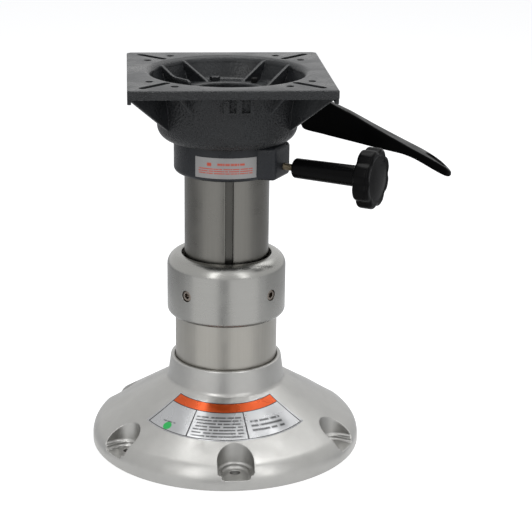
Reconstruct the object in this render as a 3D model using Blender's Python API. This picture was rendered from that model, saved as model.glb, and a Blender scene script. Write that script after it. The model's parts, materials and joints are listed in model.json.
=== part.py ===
"""Boat seat pedestal: a gas-lift telescoping column under a swivelling seat mount.

Metres, +Z up. The origin is on the column's axis at deck level. The sides of the seat plate
lie along X and Y, the release lever points along +X, and the swivel lock knob points to the
lever's side, turned 31 degrees towards -Y.
"""

import math

import bmesh
import bpy
from mathutils import Matrix, Vector

MM = 0.001

# Clearances
TOUCH = 0.3 * MM
SLIDE_FIT = 0.25 * MM
SPLIT = 0.5 * MM

# Base casting
BASE_RADIUS = 118.6 * MM
BASE_RIM_HEIGHT = 5.0 * MM
BASE_RIM_ROUND = 20.0 * MM
BASE_SLOPE = math.radians(32.0)
BASE_WALL = 6.5 * MM
BASE_FOOT_WIDTH = 9.0 * MM
BASE_FLOOR = 6.0 * MM
SOCKET_RISE = 20.77 * MM
SOCKET_WALL = 4.0 * MM
SOCKET_TAPER = 2.4 * MM
SOCKET_LEAD_IN = 1.3 * MM
NECK_ROUND = 4.5 * MM
DECK_HOLE_COUNT = 6
DECK_HOLE_EDGE = 17.0 * MM
DECK_HOLE_RADIUS = 4.8 * MM
DECK_HOLE_PHASE = math.radians(-89.0)
POCKET_RADIUS = 15.5 * MM
POCKET_REACH = 6.0 * MM
POCKET_FLOOR = 9.5 * MM
POCKET_WALL = 4.0 * MM
SPOTFACE_RADIUS = 8.4 * MM
SPOTFACE_DEPTH = 1.3 * MM
RIB_THICKNESS = 5.0 * MM

# Fixed column
GUIDE_WALL = 4.205 * MM
OUTER_TUBE_WALL = 3.18 * MM
OUTER_TUBE_SHOWN = 39.9 * MM
COLLAR_HEIGHT = 54.1 * MM
COLLAR_WALL = 6.75 * MM
COLLAR_LIP = 9.4 * MM
COLLAR_SHOULDER = 11.0 * MM
COLLAR_FOOT_ROUND = 5.0 * MM
COLLAR_MOUTH_GAP = 2.4 * MM
BUSH_FLANGE = 3.0 * MM
UPPER_BUSH_LENGTH = 28.3 * MM
SET_SCREW_HEIGHT = 25.1 * MM
SET_SCREW_RADIUS = 4.7 * MM
SET_SCREW_SOCKET = 4.9 * MM
SET_SCREW_SOCKET_DEPTH = 4.0 * MM
SET_SCREW_RECESS = 0.7 * MM

# Moving column
INNER_TUBE_RADIUS = 36.515 * MM
INNER_TUBE_WALL = 3.0 * MM
INNER_TUBE_SHOWN = 72.8 * MM
TUBE_IN_HUB = 34.2 * MM
GROOVE_WIDTH = 6.7 * MM
GROOVE_DEPTH = 4.2 * MM
GROOVE_WALL = 2.5 * MM
KEY_CLEARANCE = 0.25 * MM
TRAVEL_SPARE = 4.8 * MM
TRAVEL_UP = 34.0 * MM
LOWER_BUSH_LENGTH = 15.0 * MM

# Gas spring
GAS_BODY_RADIUS = 14.0 * MM
GAS_BODY_WALL = 1.6 * MM
GAS_ROD_RADIUS = 5.0 * MM
GAS_ROD_SPARE = 12.9 * MM
GAS_ROD_BOSS = 16.0 * MM
GAS_ROD_BOSS_RADIUS = 12.0 * MM
GAS_NECK_RADIUS = 8.0 * MM
GAS_CROWN = 8.0 * MM
GLAND_LENGTH = 10.0 * MM
PISTON_LENGTH = 9.0 * MM
ROD_NUT_FLATS = 16.0 * MM
ROD_NUT_HEIGHT = 6.5 * MM
VALVE_PIN_RADIUS = 2.5 * MM
VALVE_PIN_PROUD = 4.2 * MM
VALVE_PIN_LENGTH = 21.0 * MM

# Post head and swivel
HEAD_FLANGE = 4.6 * MM
HEAD_SPIGOT_LENGTH = 22.0 * MM
HEAD_SHOULDER = 12.415 * MM
THRUST_WASHER = 2.0 * MM
LEDGE = 5.4 * MM
RETAINING_WASHER = 1.5 * MM
RETAINING_WASHER_WIDTH = 5.4 * MM
SNAP_RING = 1.4 * MM
SNAP_RING_PROUD = 3.4 * MM
SNAP_RING_SEAT = 1.5 * MM
HEAD_BOSS_TOP_LAND = 1.2 * MM
SWIVEL_BUSH_WALL = 1.7 * MM

# Swivel hub
HUB_WALL = 6.685 * MM
HUB_EDGE_ROUND = 4.0 * MM
HUB_WELL_GAP = 0.8 * MM
LOCK_AZIMUTH = math.radians(-31.0)
LOCK_HEIGHT = 9.6 * MM
LOCK_PROUD = 8.5 * MM
LOCK_FACE_HALF_WIDTH = 14.75 * MM
LOCK_FACE_SHIFT = 2.75 * MM
LOCK_ROOT_SHARE = 0.499
HUB_BOLT_INSET = 4.5 * MM
HUB_BOLT_AZIMUTHS = (math.radians(102.0), math.radians(192.0), math.radians(282.0))
HUB_BOLT_RADIUS = 2.4 * MM
HUB_BOLT_LENGTH = 16.0 * MM
HUB_BOLT_FLATS = 8.0 * MM
HUB_BOLT_HEAD = 3.5 * MM
PLUG_INSET = 7.5 * MM
PLUG_AZIMUTH = math.radians(49.0)
PLUG_RADIUS = 2.8 * MM
PLUG_STEM_RADIUS = 1.9 * MM
PLUG_HEAD = 4.0 * MM
PLUG_STEM_LENGTH = 9.0 * MM

# Seat mount casting
PLATE_LAND = 13.8 * MM
ARM_ROOM = 9.7 * MM
PLATE_THICKNESS = 7.4 * MM
PLATE_CORNER_CUT = 2.5 * MM
PLATE_EDGE_ROUND = 0.8 * MM
LIP_DEPTH = 4.6 * MM
LIP_THICKNESS = 2.9 * MM
LIP_END_INSET = 4.0 * MM
BOWL_RIM_WIDTH = 4.0 * MM
BOWL_RIM_ROUND = 6.0 * MM
BOWL_WALL_STEP = 0.4 * MM
BOWL_FLARE = 6.5 * MM
SKIRT_REACH = 14.1 * MM
SKIRT_BREAK = 26.0 * MM
SKIRT_ROUND = 20.0 * MM
HUB_SHOWN = 31.2 * MM
BOWL_WALL = 4.5 * MM
FLOOR_DEPTH = 19.0 * MM
FLOOR_RISE = 3.0 * MM
FLOOR_THICKNESS = 5.0 * MM
FLOOR_HOLE_LIP = 0.3 * MM
WEB_OFFSET = 14.0 * MM
WEB_THICKNESS = 3.0 * MM
SIDE_WEB_DEPTH = 44.5 * MM
FRONT_WEB_DEPTH = 27.5 * MM
FRONT_WEB_LENGTH = 19.5 * MM
INNER_RIB_GAP = 4.0 * MM
INNER_RIB_SHELF = 17.0 * MM
INNER_RIB_RAMP = 4.0 * MM
SEAT_HOLE_RADIUS = 3.5 * MM
SEAT_HOLE_INSET = 18.0 * MM
SEAT_HOLE_SPACING = 20.0 * MM
SEAT_SLOT_START = 1.0 * MM
SEAT_SLOT_INSET = 14.218 * MM
SEAT_SLOT_WIDTH = 6.6 * MM
PAD_CENTRE = 5.0 * MM
PAD_HALF_WIDTH = 12.2 * MM
PAD_PROUD = 1.1 * MM
PAD_DEPTH = 23.2 * MM
PAD_RECESS_DEPTH = 2.8 * MM

# Release lever
PIVOT_GAP = 6.0 * MM
PIVOT_DROP = 26.5 * MM
PIVOT_PIN_RADIUS = 2.9 * MM
EAR_THICKNESS = 4.0 * MM
EAR_RADIUS = 5.2 * MM
PIN_HEAD_RADIUS = 4.4 * MM
PIN_HEAD = 1.9 * MM
CLIP_THICKNESS = 1.0 * MM
CLIP_RADIUS = 4.8 * MM
LEVER_ROOT_HALF = 6.2 * MM
LEVER_PADDLE_HALF = 12.5 * MM
LEVER_WALL = 2.2 * MM
LEVER_ARM_HALF = 4.6 * MM
LEVER_ARM_THICKNESS = 5.0 * MM
LEVER_SLOT_HALF = 6.4 * MM
LEVER_SLOT_SPARE = 1.4 * MM
LEVER_TILT = math.radians(3.6)
LEVER_REACH = 121.1 * MM
LEVER_FALL = 65.0 * MM
THUMB_PANEL_START = 99.0 * MM
THUMB_PANEL_END = 116.5 * MM
THUMB_PANEL_FALL = 45.4 * MM
THUMB_PANEL_DIP = 11.5 * MM
THUMB_PANEL_DEPTH = 1.1 * MM

# Swivel lock
BRAKE_PAD_RADIUS = 4.0 * MM
BRAKE_PAD_LENGTH = 5.0 * MM
BRAKE_GAP = 0.6 * MM
STUD_RADIUS = 3.0 * MM
STUD_SHOWN = 9.5 * MM
STUD_HOLE_DEPTH = 6.0 * MM
SLEEVE_LENGTH = 62.0 * MM
SLEEVE_RADIUS = 8.4 * MM
SLEEVE_FLARE = 0.5 * MM
SLEEVE_BORE_DEPTH = 30.0 * MM
KNOB_THICKNESS = 14.0 * MM
KNOB_RADIUS = 25.4 * MM
KNOB_LOBES = 8
KNOB_LOBE_DEPTH = 2.2 * MM
KNOB_EDGE_ROUND = 2.6 * MM
KNOB_DOME = 1.0 * MM

# Labels
LABEL_THICKNESS = 0.25 * MM
BASE_LABEL_CENTRE = math.radians(-94.0)
BASE_LABEL_HALF_ANGLE = math.radians(46.0)
BASE_LABEL_SOCKET_GAP = 6.95 * MM
BASE_LABEL_WIDTH = 33.3 * MM
HUB_LABEL_CENTRE = math.radians(-95.0)
HUB_LABEL_HALF_ANGLE = math.radians(33.8)
HUB_LABEL_LOW = 3.6 * MM
HUB_LABEL_HEIGHT = 17.6 * MM

# Facets round a full turn
FINE = 48
MEDIUM = 36
SMALL = 20
TINY = 12

# Sizes that follow from the ones above
OUTER_TUBE_BORE = INNER_TUBE_RADIUS + SLIDE_FIT + GUIDE_WALL + TOUCH
OUTER_TUBE_RADIUS = OUTER_TUBE_BORE + OUTER_TUBE_WALL
SOCKET_BORE = OUTER_TUBE_RADIUS + TOUCH
SOCKET_RADIUS = SOCKET_BORE + SOCKET_WALL
CONE_START_RADIUS = BASE_RADIUS - BASE_RIM_ROUND * (1.0 - math.sin(BASE_SLOPE))
CONE_START_HEIGHT = BASE_RIM_HEIGHT + BASE_RIM_ROUND * math.cos(BASE_SLOPE)
CONE_TOP = CONE_START_HEIGHT + (CONE_START_RADIUS - SOCKET_RADIUS - SOCKET_TAPER) * math.tan(BASE_SLOPE)
SOCKET_HEIGHT = CONE_TOP + SOCKET_RISE
DECK_HOLE_CIRCLE = BASE_RADIUS - DECK_HOLE_EDGE
OUTER_TUBE_BOTTOM = BASE_FLOOR + TOUCH
COLLAR_BOTTOM = SOCKET_HEIGHT + OUTER_TUBE_SHOWN
COLLAR_RADIUS = OUTER_TUBE_RADIUS + TOUCH + COLLAR_WALL
COLLAR_TOP = COLLAR_BOTTOM + COLLAR_HEIGHT
COLLAR_MOUTH = INNER_TUBE_RADIUS + COLLAR_MOUTH_GAP
COLLAR_SEAT = COLLAR_TOP - COLLAR_LIP
OUTER_TUBE_TOP = COLLAR_SEAT - 2.0 * TOUCH - BUSH_FLANGE
UPPER_BUSH_BOTTOM = OUTER_TUBE_TOP + TOUCH - UPPER_BUSH_LENGTH
LOWER_BUSH_TOP = UPPER_BUSH_BOTTOM - TOUCH - TRAVEL_UP
LOWER_BUSH_BOTTOM = LOWER_BUSH_TOP - LOWER_BUSH_LENGTH
HUB_BOTTOM = COLLAR_TOP + INNER_TUBE_SHOWN
TRAVEL_DOWN = INNER_TUBE_SHOWN - TRAVEL_SPARE
INNER_TUBE_TOP = HUB_BOTTOM + TUBE_IN_HUB
INNER_TUBE_BORE = INNER_TUBE_RADIUS - INNER_TUBE_WALL
GROOVE_FLOOR = INNER_TUBE_RADIUS - GROOVE_DEPTH
HEAD_BOTTOM = INNER_TUBE_TOP - HEAD_SPIGOT_LENGTH
FLANGE_BOTTOM = INNER_TUBE_TOP + TOUCH
FLANGE_TOP = FLANGE_BOTTOM + HEAD_FLANGE
THRUST_BOTTOM = FLANGE_TOP + TOUCH
THRUST_TOP = THRUST_BOTTOM + THRUST_WASHER
LEDGE_BOTTOM = THRUST_TOP + TOUCH
LEDGE_TOP = LEDGE_BOTTOM + LEDGE
KEEPER_BOTTOM = LEDGE_TOP + TOUCH
KEEPER_TOP = KEEPER_BOTTOM + RETAINING_WASHER
SNAP_BOTTOM = KEEPER_TOP + TOUCH
SNAP_TOP = SNAP_BOTTOM + SNAP_RING
HEAD_TOP = SNAP_TOP + TOUCH + HEAD_BOSS_TOP_LAND
HEAD_BOSS_RADIUS = INNER_TUBE_RADIUS - HEAD_SHOULDER
RETAINING_WASHER_RADIUS = HEAD_BOSS_RADIUS + RETAINING_WASHER_WIDTH
SNAP_RING_RADIUS = HEAD_BOSS_RADIUS + SNAP_RING_PROUD
SNAP_GROOVE_RADIUS = HEAD_BOSS_RADIUS - SNAP_RING_SEAT
GAS_BORE = GAS_BODY_RADIUS - GAS_BODY_WALL
GAS_ROD_BOTTOM = BASE_FLOOR - 2.0 * MM + TOUCH
ROD_NUT_BOTTOM = GAS_ROD_BOSS + TOUCH
GAS_BODY_BOTTOM = ROD_NUT_BOTTOM + ROD_NUT_HEIGHT + TRAVEL_DOWN + 8.0 * MM
GAS_BODY_TOP = FLANGE_TOP + 4.0 * MM
GAS_ROD_TOP = GAS_BODY_TOP - GAS_CROWN - TRAVEL_DOWN - GAS_ROD_SPARE
GAS_NECK_TOP = HEAD_TOP
SWIVEL_BUSH_RADIUS = INNER_TUBE_RADIUS + TOUCH + SWIVEL_BUSH_WALL
HUB_BORE = SWIVEL_BUSH_RADIUS + TOUCH
HUB_RADIUS = HUB_BORE + HUB_WALL
HUB_WELL_RADIUS = RETAINING_WASHER_RADIUS + HUB_WELL_GAP
HUB_BOLT_CIRCLE = HUB_RADIUS - HUB_BOLT_INSET
PLUG_CIRCLE = HUB_RADIUS - PLUG_INSET
FLOOR_UNDERSIDE = HEAD_TOP + ARM_ROOM
FLOOR_TOP_FOOT = FLOOR_UNDERSIDE + FLOOR_THICKNESS
FLOOR_TOP_RING = FLOOR_TOP_FOOT + FLOOR_RISE
PLATE_TOP = FLOOR_TOP_FOOT + FLOOR_DEPTH
BOWL_OUTER_RADIUS = HUB_RADIUS + SKIRT_REACH
BOWL_WALL_FOOT = BOWL_OUTER_RADIUS + BOWL_WALL_STEP
BOWL_OUTER_TOP = BOWL_WALL_FOOT + BOWL_FLARE
BOWL_RIM_RADIUS = BOWL_OUTER_TOP + BOWL_RIM_WIDTH
PLATE_HALF = BOWL_RIM_RADIUS + PLATE_LAND
FLOOR_HOLE_RADIUS = HUB_WELL_RADIUS - FLOOR_HOLE_LIP
INNER_RIB_START = FLOOR_HOLE_RADIUS + INNER_RIB_GAP
SEAT_HOLE_FAR = PLATE_HALF - SEAT_HOLE_INSET
SEAT_HOLE_NEAR = SEAT_HOLE_FAR - SEAT_HOLE_SPACING
SEAT_SLOT_INNER = BOWL_RIM_RADIUS + SEAT_SLOT_START
SEAT_SLOT_OUTER = PLATE_HALF * math.sqrt(2.0) - SEAT_SLOT_INSET
PAD_FACE = BOWL_OUTER_TOP + PAD_PROUD
HUB_TOP = FLOOR_UNDERSIDE - TOUCH
PLATE_UNDERSIDE = PLATE_TOP - PLATE_THICKNESS
BOWL_BOTTOM = HUB_BOTTOM + HUB_SHOWN
HUB_HOLE = HUB_RADIUS + TOUCH
SKIRT_TOP = BOWL_BOTTOM + SKIRT_ROUND - 0.8 * MM
BOSS_TOP = BOWL_BOTTOM - TOUCH
LOCK_Z = HUB_BOTTOM + LOCK_HEIGHT
LOCK_FACE = HUB_RADIUS + LOCK_PROUD
LOCK_ROOT_HALF_WIDTH = LOCK_ROOT_SHARE * HUB_RADIUS
PIVOT_X = BOWL_OUTER_TOP + PIVOT_GAP
PIVOT_Z = PLATE_TOP - PIVOT_DROP
VALVE_PIN_TOP = GAS_NECK_TOP + VALVE_PIN_PROUD
ARM_BOTTOM = VALVE_PIN_TOP + TOUCH
EAR_INNER = LEVER_ROOT_HALF + SPLIT
EAR_OUTER = EAR_INNER + EAR_THICKNESS
PAD_START = INNER_TUBE_RADIUS + BRAKE_GAP
STUD_START = PAD_START + BRAKE_PAD_LENGTH + TOUCH
SLEEVE_START = LOCK_FACE + STUD_SHOWN
KNOB_BACK = SLEEVE_START + SLEEVE_LENGTH
KNOB_FACE = KNOB_BACK + KNOB_THICKNESS
LABEL_LIFT = TOUCH
BASE_LABEL_INNER = SOCKET_RADIUS + SOCKET_TAPER + BASE_LABEL_SOCKET_GAP
BASE_LABEL_OUTER = BASE_LABEL_INNER + BASE_LABEL_WIDTH

QUARTER_TURNS = tuple(math.radians(90.0 * k) for k in range(4))


def clear_scene():
    """Remove whatever the open scene holds."""
    for obj in list(bpy.data.objects):
        bpy.data.objects.remove(obj, do_unlink=True)


def make_material(name, colour, metallic, roughness):
    """Return a Principled material."""
    material = bpy.data.materials.new(name)
    material.use_nodes = True
    shader = material.node_tree.nodes["Principled BSDF"]
    shader.inputs["Base Color"].default_value = (*colour, 1.0)
    shader.inputs["Metallic"].default_value = metallic
    shader.inputs["Roughness"].default_value = roughness
    return material


def polar(radius, angle, height=0.0):
    """Return a point from its distance to the axis, its azimuth and its height."""
    return Vector((radius * math.cos(angle), radius * math.sin(angle), height))


def arc(centre_r, centre_z, radius, start, end, steps):
    """Return profile points along an arc, angles in degrees from +r towards +z."""
    points = []
    for k in range(steps + 1):
        angle = math.radians(start + (end - start) * k / steps)
        points.append((centre_r + radius * math.cos(angle), centre_z + radius * math.sin(angle)))
    return points


def new_object(name, mesh_builder, material=None, smooth_angle=38.0):
    """Turn a bmesh into a named object with outward faces."""
    bmesh.ops.recalc_face_normals(mesh_builder, faces=mesh_builder.faces)
    mesh = bpy.data.meshes.new(name)
    mesh_builder.to_mesh(mesh)
    mesh_builder.free()
    obj = bpy.data.objects.new(name, mesh)
    bpy.context.collection.objects.link(obj)
    if material is not None:
        mesh.materials.append(material)
    finish_shading(mesh, smooth_angle)
    return obj


def finish_shading(mesh, smooth_angle=38.0):
    """Shade a mesh smooth, with sharp edges past the given angle."""
    mesh.shade_smooth()
    mesh.set_sharp_from_angle(angle=math.radians(smooth_angle))


def loft(rings, closed=False):
    """Return a bmesh skinned over rings of equally many points.

    A closed loft joins its last ring to its first; an open one gets end caps.
    """
    builder = bmesh.new()
    loops = [[builder.verts.new(point) for point in ring] for ring in rings]
    count = len(rings[0])
    spans = len(loops) if closed else len(loops) - 1
    for k in range(spans):
        lower = loops[k]
        upper = loops[(k + 1) % len(loops)]
        for i in range(count):
            j = (i + 1) % count
            builder.faces.new((lower[i], lower[j], upper[j], upper[i]))
    if not closed:
        builder.faces.new(list(reversed(loops[0])))
        builder.faces.new(loops[-1])
    return builder


def turned_mesh(profile, facets):
    """Return a bmesh of a closed (radius, height) profile turned about Z."""
    builder = bmesh.new()
    angles = [2.0 * math.pi * k / facets for k in range(facets)]
    rings = []
    for radius, height in profile:
        if radius < 1e-7:
            rings.append([builder.verts.new((0.0, 0.0, height))])
        else:
            rings.append([builder.verts.new(polar(radius, angle, height)) for angle in angles])
    for k, ring in enumerate(rings):
        following = rings[(k + 1) % len(rings)]
        if len(ring) == 1 and len(following) == 1:
            continue
        for i in range(facets):
            j = (i + 1) % facets
            if len(ring) == 1:
                builder.faces.new((ring[0], following[j], following[i]))
            elif len(following) == 1:
                builder.faces.new((ring[i], ring[j], following[0]))
            else:
                builder.faces.new((ring[i], ring[j], following[j], following[i]))
    return builder


def turned(name, profile, material=None, facets=FINE):
    """Return an object turned about Z."""
    return new_object(name, turned_mesh(profile, facets), material)


def tube_profile(inner, outer, low, high):
    """Return the closed profile of a plain ring."""
    return [(inner, low), (outer, low), (outer, high), (inner, high)]


def prism(name, outline, low, high, material=None):
    """Return an object with a flat outline in XY, from one height to another."""
    rings = [[(x, y, low) for x, y in outline], [(x, y, high) for x, y in outline]]
    return new_object(name, loft(rings), material)


def upright_slab(name, outline, thickness, direction, offset, material=None):
    """Return a slab whose (along, height) outline stands in a vertical plane.

    The plane runs along the azimuth, and the slab is centred at an offset to its left.
    """
    along = Vector((math.cos(direction), math.sin(direction), 0.0))
    across = Vector((-math.sin(direction), math.cos(direction), 0.0))
    rings = []
    for side in (-0.5, 0.5):
        shift = across * (offset + side * thickness)
        rings.append([along * s + shift + Vector((0.0, 0.0, z)) for s, z in outline])
    return new_object(name, loft(rings), material)


def cylinder_between(name, start, end, radius, material=None, facets=SMALL, phase=0.0):
    """Return a cylinder from one point to another."""
    start = Vector(start)
    end = Vector(end)
    turn = (end - start).to_track_quat("Z", "Y").to_matrix()
    rings = []
    for point in (start, end):
        ring = []
        for k in range(facets):
            angle = phase + 2.0 * math.pi * k / facets
            ring.append(point + turn @ polar(radius, angle))
        rings.append(ring)
    return new_object(name, loft(rings), material)


def joined(name, objects):
    """Join several objects, as separate bodies, into one mesh object."""
    builder = bmesh.new()
    for obj in objects:
        builder.from_mesh(obj.data)
        bpy.data.objects.remove(obj, do_unlink=True)
    return new_object(name, builder)


def apply_boolean(target, tool, operation):
    """Cut, add or intersect a tool object with a target, and drop the tool."""
    modifier = target.modifiers.new("cut", "BOOLEAN")
    modifier.object = tool
    modifier.operation = operation
    modifier.solver = "EXACT"
    graph = bpy.context.evaluated_depsgraph_get()
    mesh = bpy.data.meshes.new_from_object(target.evaluated_get(graph))
    target.modifiers.clear()
    target.data = mesh
    bpy.data.objects.remove(tool, do_unlink=True)
    finish_shading(mesh)


def move_origin(obj, point):
    """Put an object's origin at a point without moving its shape."""
    obj.data.transform(Matrix.Translation(-Vector(point)))
    obj.location = point


def dress(obj, material):
    """Give an object one material."""
    obj.data.materials.clear()
    obj.data.materials.append(material)


def hexagon(flats):
    """Return the corner radius of a hexagon from its width across flats."""
    return flats / math.sqrt(3.0)


def cone_height(radius):
    """Return the height of the base casting's cone at a distance from the axis."""
    return CONE_START_HEIGHT + (CONE_START_RADIUS - radius) * math.tan(BASE_SLOPE)


def base_outer_profile():
    """Return the base casting's outer profile, from its foot up to the socket's mouth."""
    rim_centre = BASE_RADIUS - BASE_RIM_ROUND
    tangent = 90.0 - math.degrees(BASE_SLOPE)
    socket_foot_radius = SOCKET_RADIUS + SOCKET_TAPER
    fillet_radius = socket_foot_radius + NECK_ROUND
    fillet_reach = NECK_ROUND * math.sin(BASE_SLOPE)
    fillet_height = cone_height(fillet_radius - fillet_reach) + NECK_ROUND * math.cos(BASE_SLOPE)
    points = [(BASE_RADIUS - 1.0 * MM, 0.0), (BASE_RADIUS, 1.0 * MM)]
    points += arc(rim_centre, BASE_RIM_HEIGHT, BASE_RIM_ROUND, 0.0, tangent, 4)
    points += arc(fillet_radius, fillet_height, NECK_ROUND, 180.0 + tangent, 180.0, 3)
    points.append((SOCKET_RADIUS, SOCKET_HEIGHT - 2.0 * MM))
    points.append((SOCKET_RADIUS - 2.0 * MM, SOCKET_HEIGHT))
    return points


def base_surface_height(radius):
    """Return the height of the base casting's outer surface at a distance from the axis."""
    points = base_outer_profile()
    for (r0, z0), (r1, z1) in zip(points[2:], points[3:]):
        if r1 <= radius <= r0 and r0 - r1 > 1e-9:
            return z0 + (z1 - z0) * (r0 - radius) / (r0 - r1)
    return points[-1][1]


def deck_hole_angles():
    """Return the azimuths of the deck screw holes."""
    return [DECK_HOLE_PHASE + 2.0 * math.pi * k / DECK_HOLE_COUNT for k in range(DECK_HOLE_COUNT)]


def pocket_outline(angle, radius):
    """Return the U outline of a screw pocket: a half round that opens outwards."""
    centre = DECK_HOLE_CIRCLE + POCKET_REACH
    reach = BASE_RADIUS + BASE_RIM_ROUND
    along = Vector((math.cos(angle), math.sin(angle)))
    across = Vector((-math.sin(angle), math.cos(angle)))
    outline = [along * reach - across * radius, along * reach + across * radius]
    for k in range(9):
        turn = math.radians(90.0 + 22.5 * k)
        outline.append(along * (centre + radius * math.cos(turn)) + across * radius * math.sin(turn))
    return [(point.x, point.y) for point in outline]


def build_base_hollow():
    """Return the cutter for the space under the base, less the pocket housings and ribs."""
    inner = SOCKET_RADIUS + SOCKET_TAPER
    outer = BASE_RADIUS - BASE_FOOT_WIDTH
    drop = BASE_WALL / math.cos(BASE_SLOPE)
    shoulder = outer - 4.0 * MM
    low = -5.0 * MM
    profile = [(inner, low), (outer, low), (outer, cone_height(outer) - drop - 2.0 * MM)]
    profile += [(shoulder, cone_height(shoulder) - drop)]
    profile += [(inner + 8.0 * MM, cone_height(inner + 8.0 * MM) - drop)]
    profile += [(inner, cone_height(inner + 8.0 * MM) - drop)]
    hollow = turned("base_hollow", profile)
    housings = []
    for angle in deck_hole_angles():
        outline = pocket_outline(angle, POCKET_RADIUS + POCKET_WALL)
        housings.append(prism("housing", outline, 2.0 * low, SOCKET_HEIGHT))
        rib_angle = angle + math.pi / DECK_HOLE_COUNT
        rib = [(inner - 2.0 * MM, 2.0 * low), (BASE_RADIUS, 2.0 * low)]
        rib += [(BASE_RADIUS, SOCKET_HEIGHT), (inner - 2.0 * MM, SOCKET_HEIGHT)]
        housings.append(upright_slab("rib", rib, RIB_THICKNESS, rib_angle, 0.0))
    apply_boolean(hollow, joined("housings", housings), "DIFFERENCE")
    return hollow


def build_base_casting(material):
    """Return the base: a cone with a socket for the outer tube and six screw pockets."""
    bore_top = SOCKET_HEIGHT - 2.5 * MM
    rod_bore = GAS_ROD_RADIUS + TOUCH
    profile = [(0.0, 0.0)] + base_outer_profile()
    profile += [(SOCKET_BORE + SOCKET_LEAD_IN, SOCKET_HEIGHT), (SOCKET_BORE, bore_top)]
    profile += [(SOCKET_BORE, BASE_FLOOR), (GAS_ROD_BOSS_RADIUS + 2.0 * MM, BASE_FLOOR)]
    profile += [(GAS_ROD_BOSS_RADIUS, GAS_ROD_BOSS), (rod_bore, GAS_ROD_BOSS)]
    profile += [(rod_bore, GAS_ROD_BOTTOM - TOUCH), (0.0, GAS_ROD_BOTTOM - TOUCH)]
    base = turned("base_casting", profile)
    pockets = []
    holes = []
    seat = POCKET_FLOOR - SPOTFACE_DEPTH
    for angle in deck_hole_angles():
        pockets.append(prism("pocket", pocket_outline(angle, POCKET_RADIUS), POCKET_FLOOR, SOCKET_HEIGHT))
        stepped = [(0.0, -POCKET_FLOOR), (DECK_HOLE_RADIUS, -POCKET_FLOOR), (DECK_HOLE_RADIUS, seat)]
        stepped += [(SPOTFACE_RADIUS, seat), (SPOTFACE_RADIUS, POCKET_FLOOR + SPOTFACE_RADIUS)]
        stepped += [(0.0, POCKET_FLOOR + SPOTFACE_RADIUS)]
        hole = turned("deck_hole", stepped, facets=16)
        hole.data.transform(Matrix.Translation(polar(DECK_HOLE_CIRCLE, angle)))
        holes.append(hole)
    apply_boolean(base, joined("pockets", pockets), "DIFFERENCE")
    apply_boolean(base, joined("deck_holes", holes), "DIFFERENCE")
    apply_boolean(base, build_base_hollow(), "DIFFERENCE")
    dress(base, material)
    return base


def build_outer_tube(material):
    """Return the fixed outer tube."""
    profile = tube_profile(OUTER_TUBE_BORE, OUTER_TUBE_RADIUS, OUTER_TUBE_BOTTOM, OUTER_TUBE_TOP)
    return turned("outer_tube", profile, material)


def set_screw_angles():
    """Return the azimuths of the collar's four set screws."""
    return [math.radians(-135.0 + 90.0 * k) for k in range(4)]


def build_guide_collar(material):
    """Return the collar that caps the outer tube, with a rounded shoulder and foot."""
    bore = OUTER_TUBE_RADIUS + TOUCH
    shoulder_r = COLLAR_RADIUS - COLLAR_SHOULDER
    shoulder_z = COLLAR_TOP - COLLAR_SHOULDER
    foot_r = COLLAR_RADIUS - COLLAR_FOOT_ROUND
    foot_z = COLLAR_BOTTOM + COLLAR_FOOT_ROUND
    profile = [(bore, COLLAR_BOTTOM)]
    profile += arc(foot_r, foot_z, COLLAR_FOOT_ROUND, -90.0, 0.0, 3)
    profile += arc(shoulder_r, shoulder_z, COLLAR_SHOULDER, 0.0, 90.0, 5)
    profile += [(COLLAR_MOUTH + 0.6 * MM, COLLAR_TOP), (COLLAR_MOUTH, COLLAR_TOP - 0.8 * MM)]
    profile += [(COLLAR_MOUTH, COLLAR_SEAT), (bore, COLLAR_SEAT)]
    collar = turned("guide_collar", profile)
    height = COLLAR_BOTTOM + SET_SCREW_HEIGHT
    holes = []
    for angle in set_screw_angles():
        start = polar(OUTER_TUBE_BORE, angle, height)
        end = polar(COLLAR_RADIUS + 2.0 * MM, angle, height)
        holes.append(cylinder_between("screw_hole", start, end, SET_SCREW_RADIUS + TOUCH, facets=16))
    apply_boolean(collar, joined("screw_holes", holes), "DIFFERENCE")
    dress(collar, material)
    return collar


def build_set_screws(material):
    """Return the four set screws, each a cup with a hexagon socket."""
    height = COLLAR_BOTTOM + SET_SCREW_HEIGHT
    length = COLLAR_RADIUS - SET_SCREW_RECESS - OUTER_TUBE_RADIUS - TOUCH
    screws = []
    for number, angle in enumerate(set_screw_angles(), start=1):
        profile = [(0.0, 0.0), (SET_SCREW_RADIUS, 0.0)]
        profile += [(SET_SCREW_RADIUS, length - 0.5 * MM), (SET_SCREW_RADIUS - 0.5 * MM, length)]
        profile += [(0.0, length)]
        screw = turned(f"set_screw_{number}", profile, facets=16)
        start = Vector((0.0, 0.0, length - SET_SCREW_SOCKET_DEPTH))
        end = Vector((0.0, 0.0, length + 1.0 * MM))
        socket = cylinder_between("socket", start, end, hexagon(SET_SCREW_SOCKET), facets=6)
        apply_boolean(screw, socket, "DIFFERENCE")
        dress(screw, material)
        screw.location = polar(OUTER_TUBE_RADIUS + TOUCH, angle, height)
        screw.rotation_euler = (0.0, math.radians(90.0), angle)
        screws.append(screw)
    return screws


def keyed_ring(radius, half_width, key_radius, edge_radius, steps):
    """Return a flat ring of points with a straight-sided step at azimuth -90 degrees."""
    half = math.asin(half_width / edge_radius)
    start = math.radians(-90.0) + half
    sweep = 2.0 * math.pi - 2.0 * half
    points = []
    for k in range(steps + 1):
        angle = start + sweep * k / steps
        points.append((radius * math.cos(angle), radius * math.sin(angle)))
    points.append((-half_width, -key_radius))
    points.append((half_width, -key_radius))
    return points


def raised(points, height):
    """Return flat points lifted to a height."""
    return [(x, y, height) for x, y in points]


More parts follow.
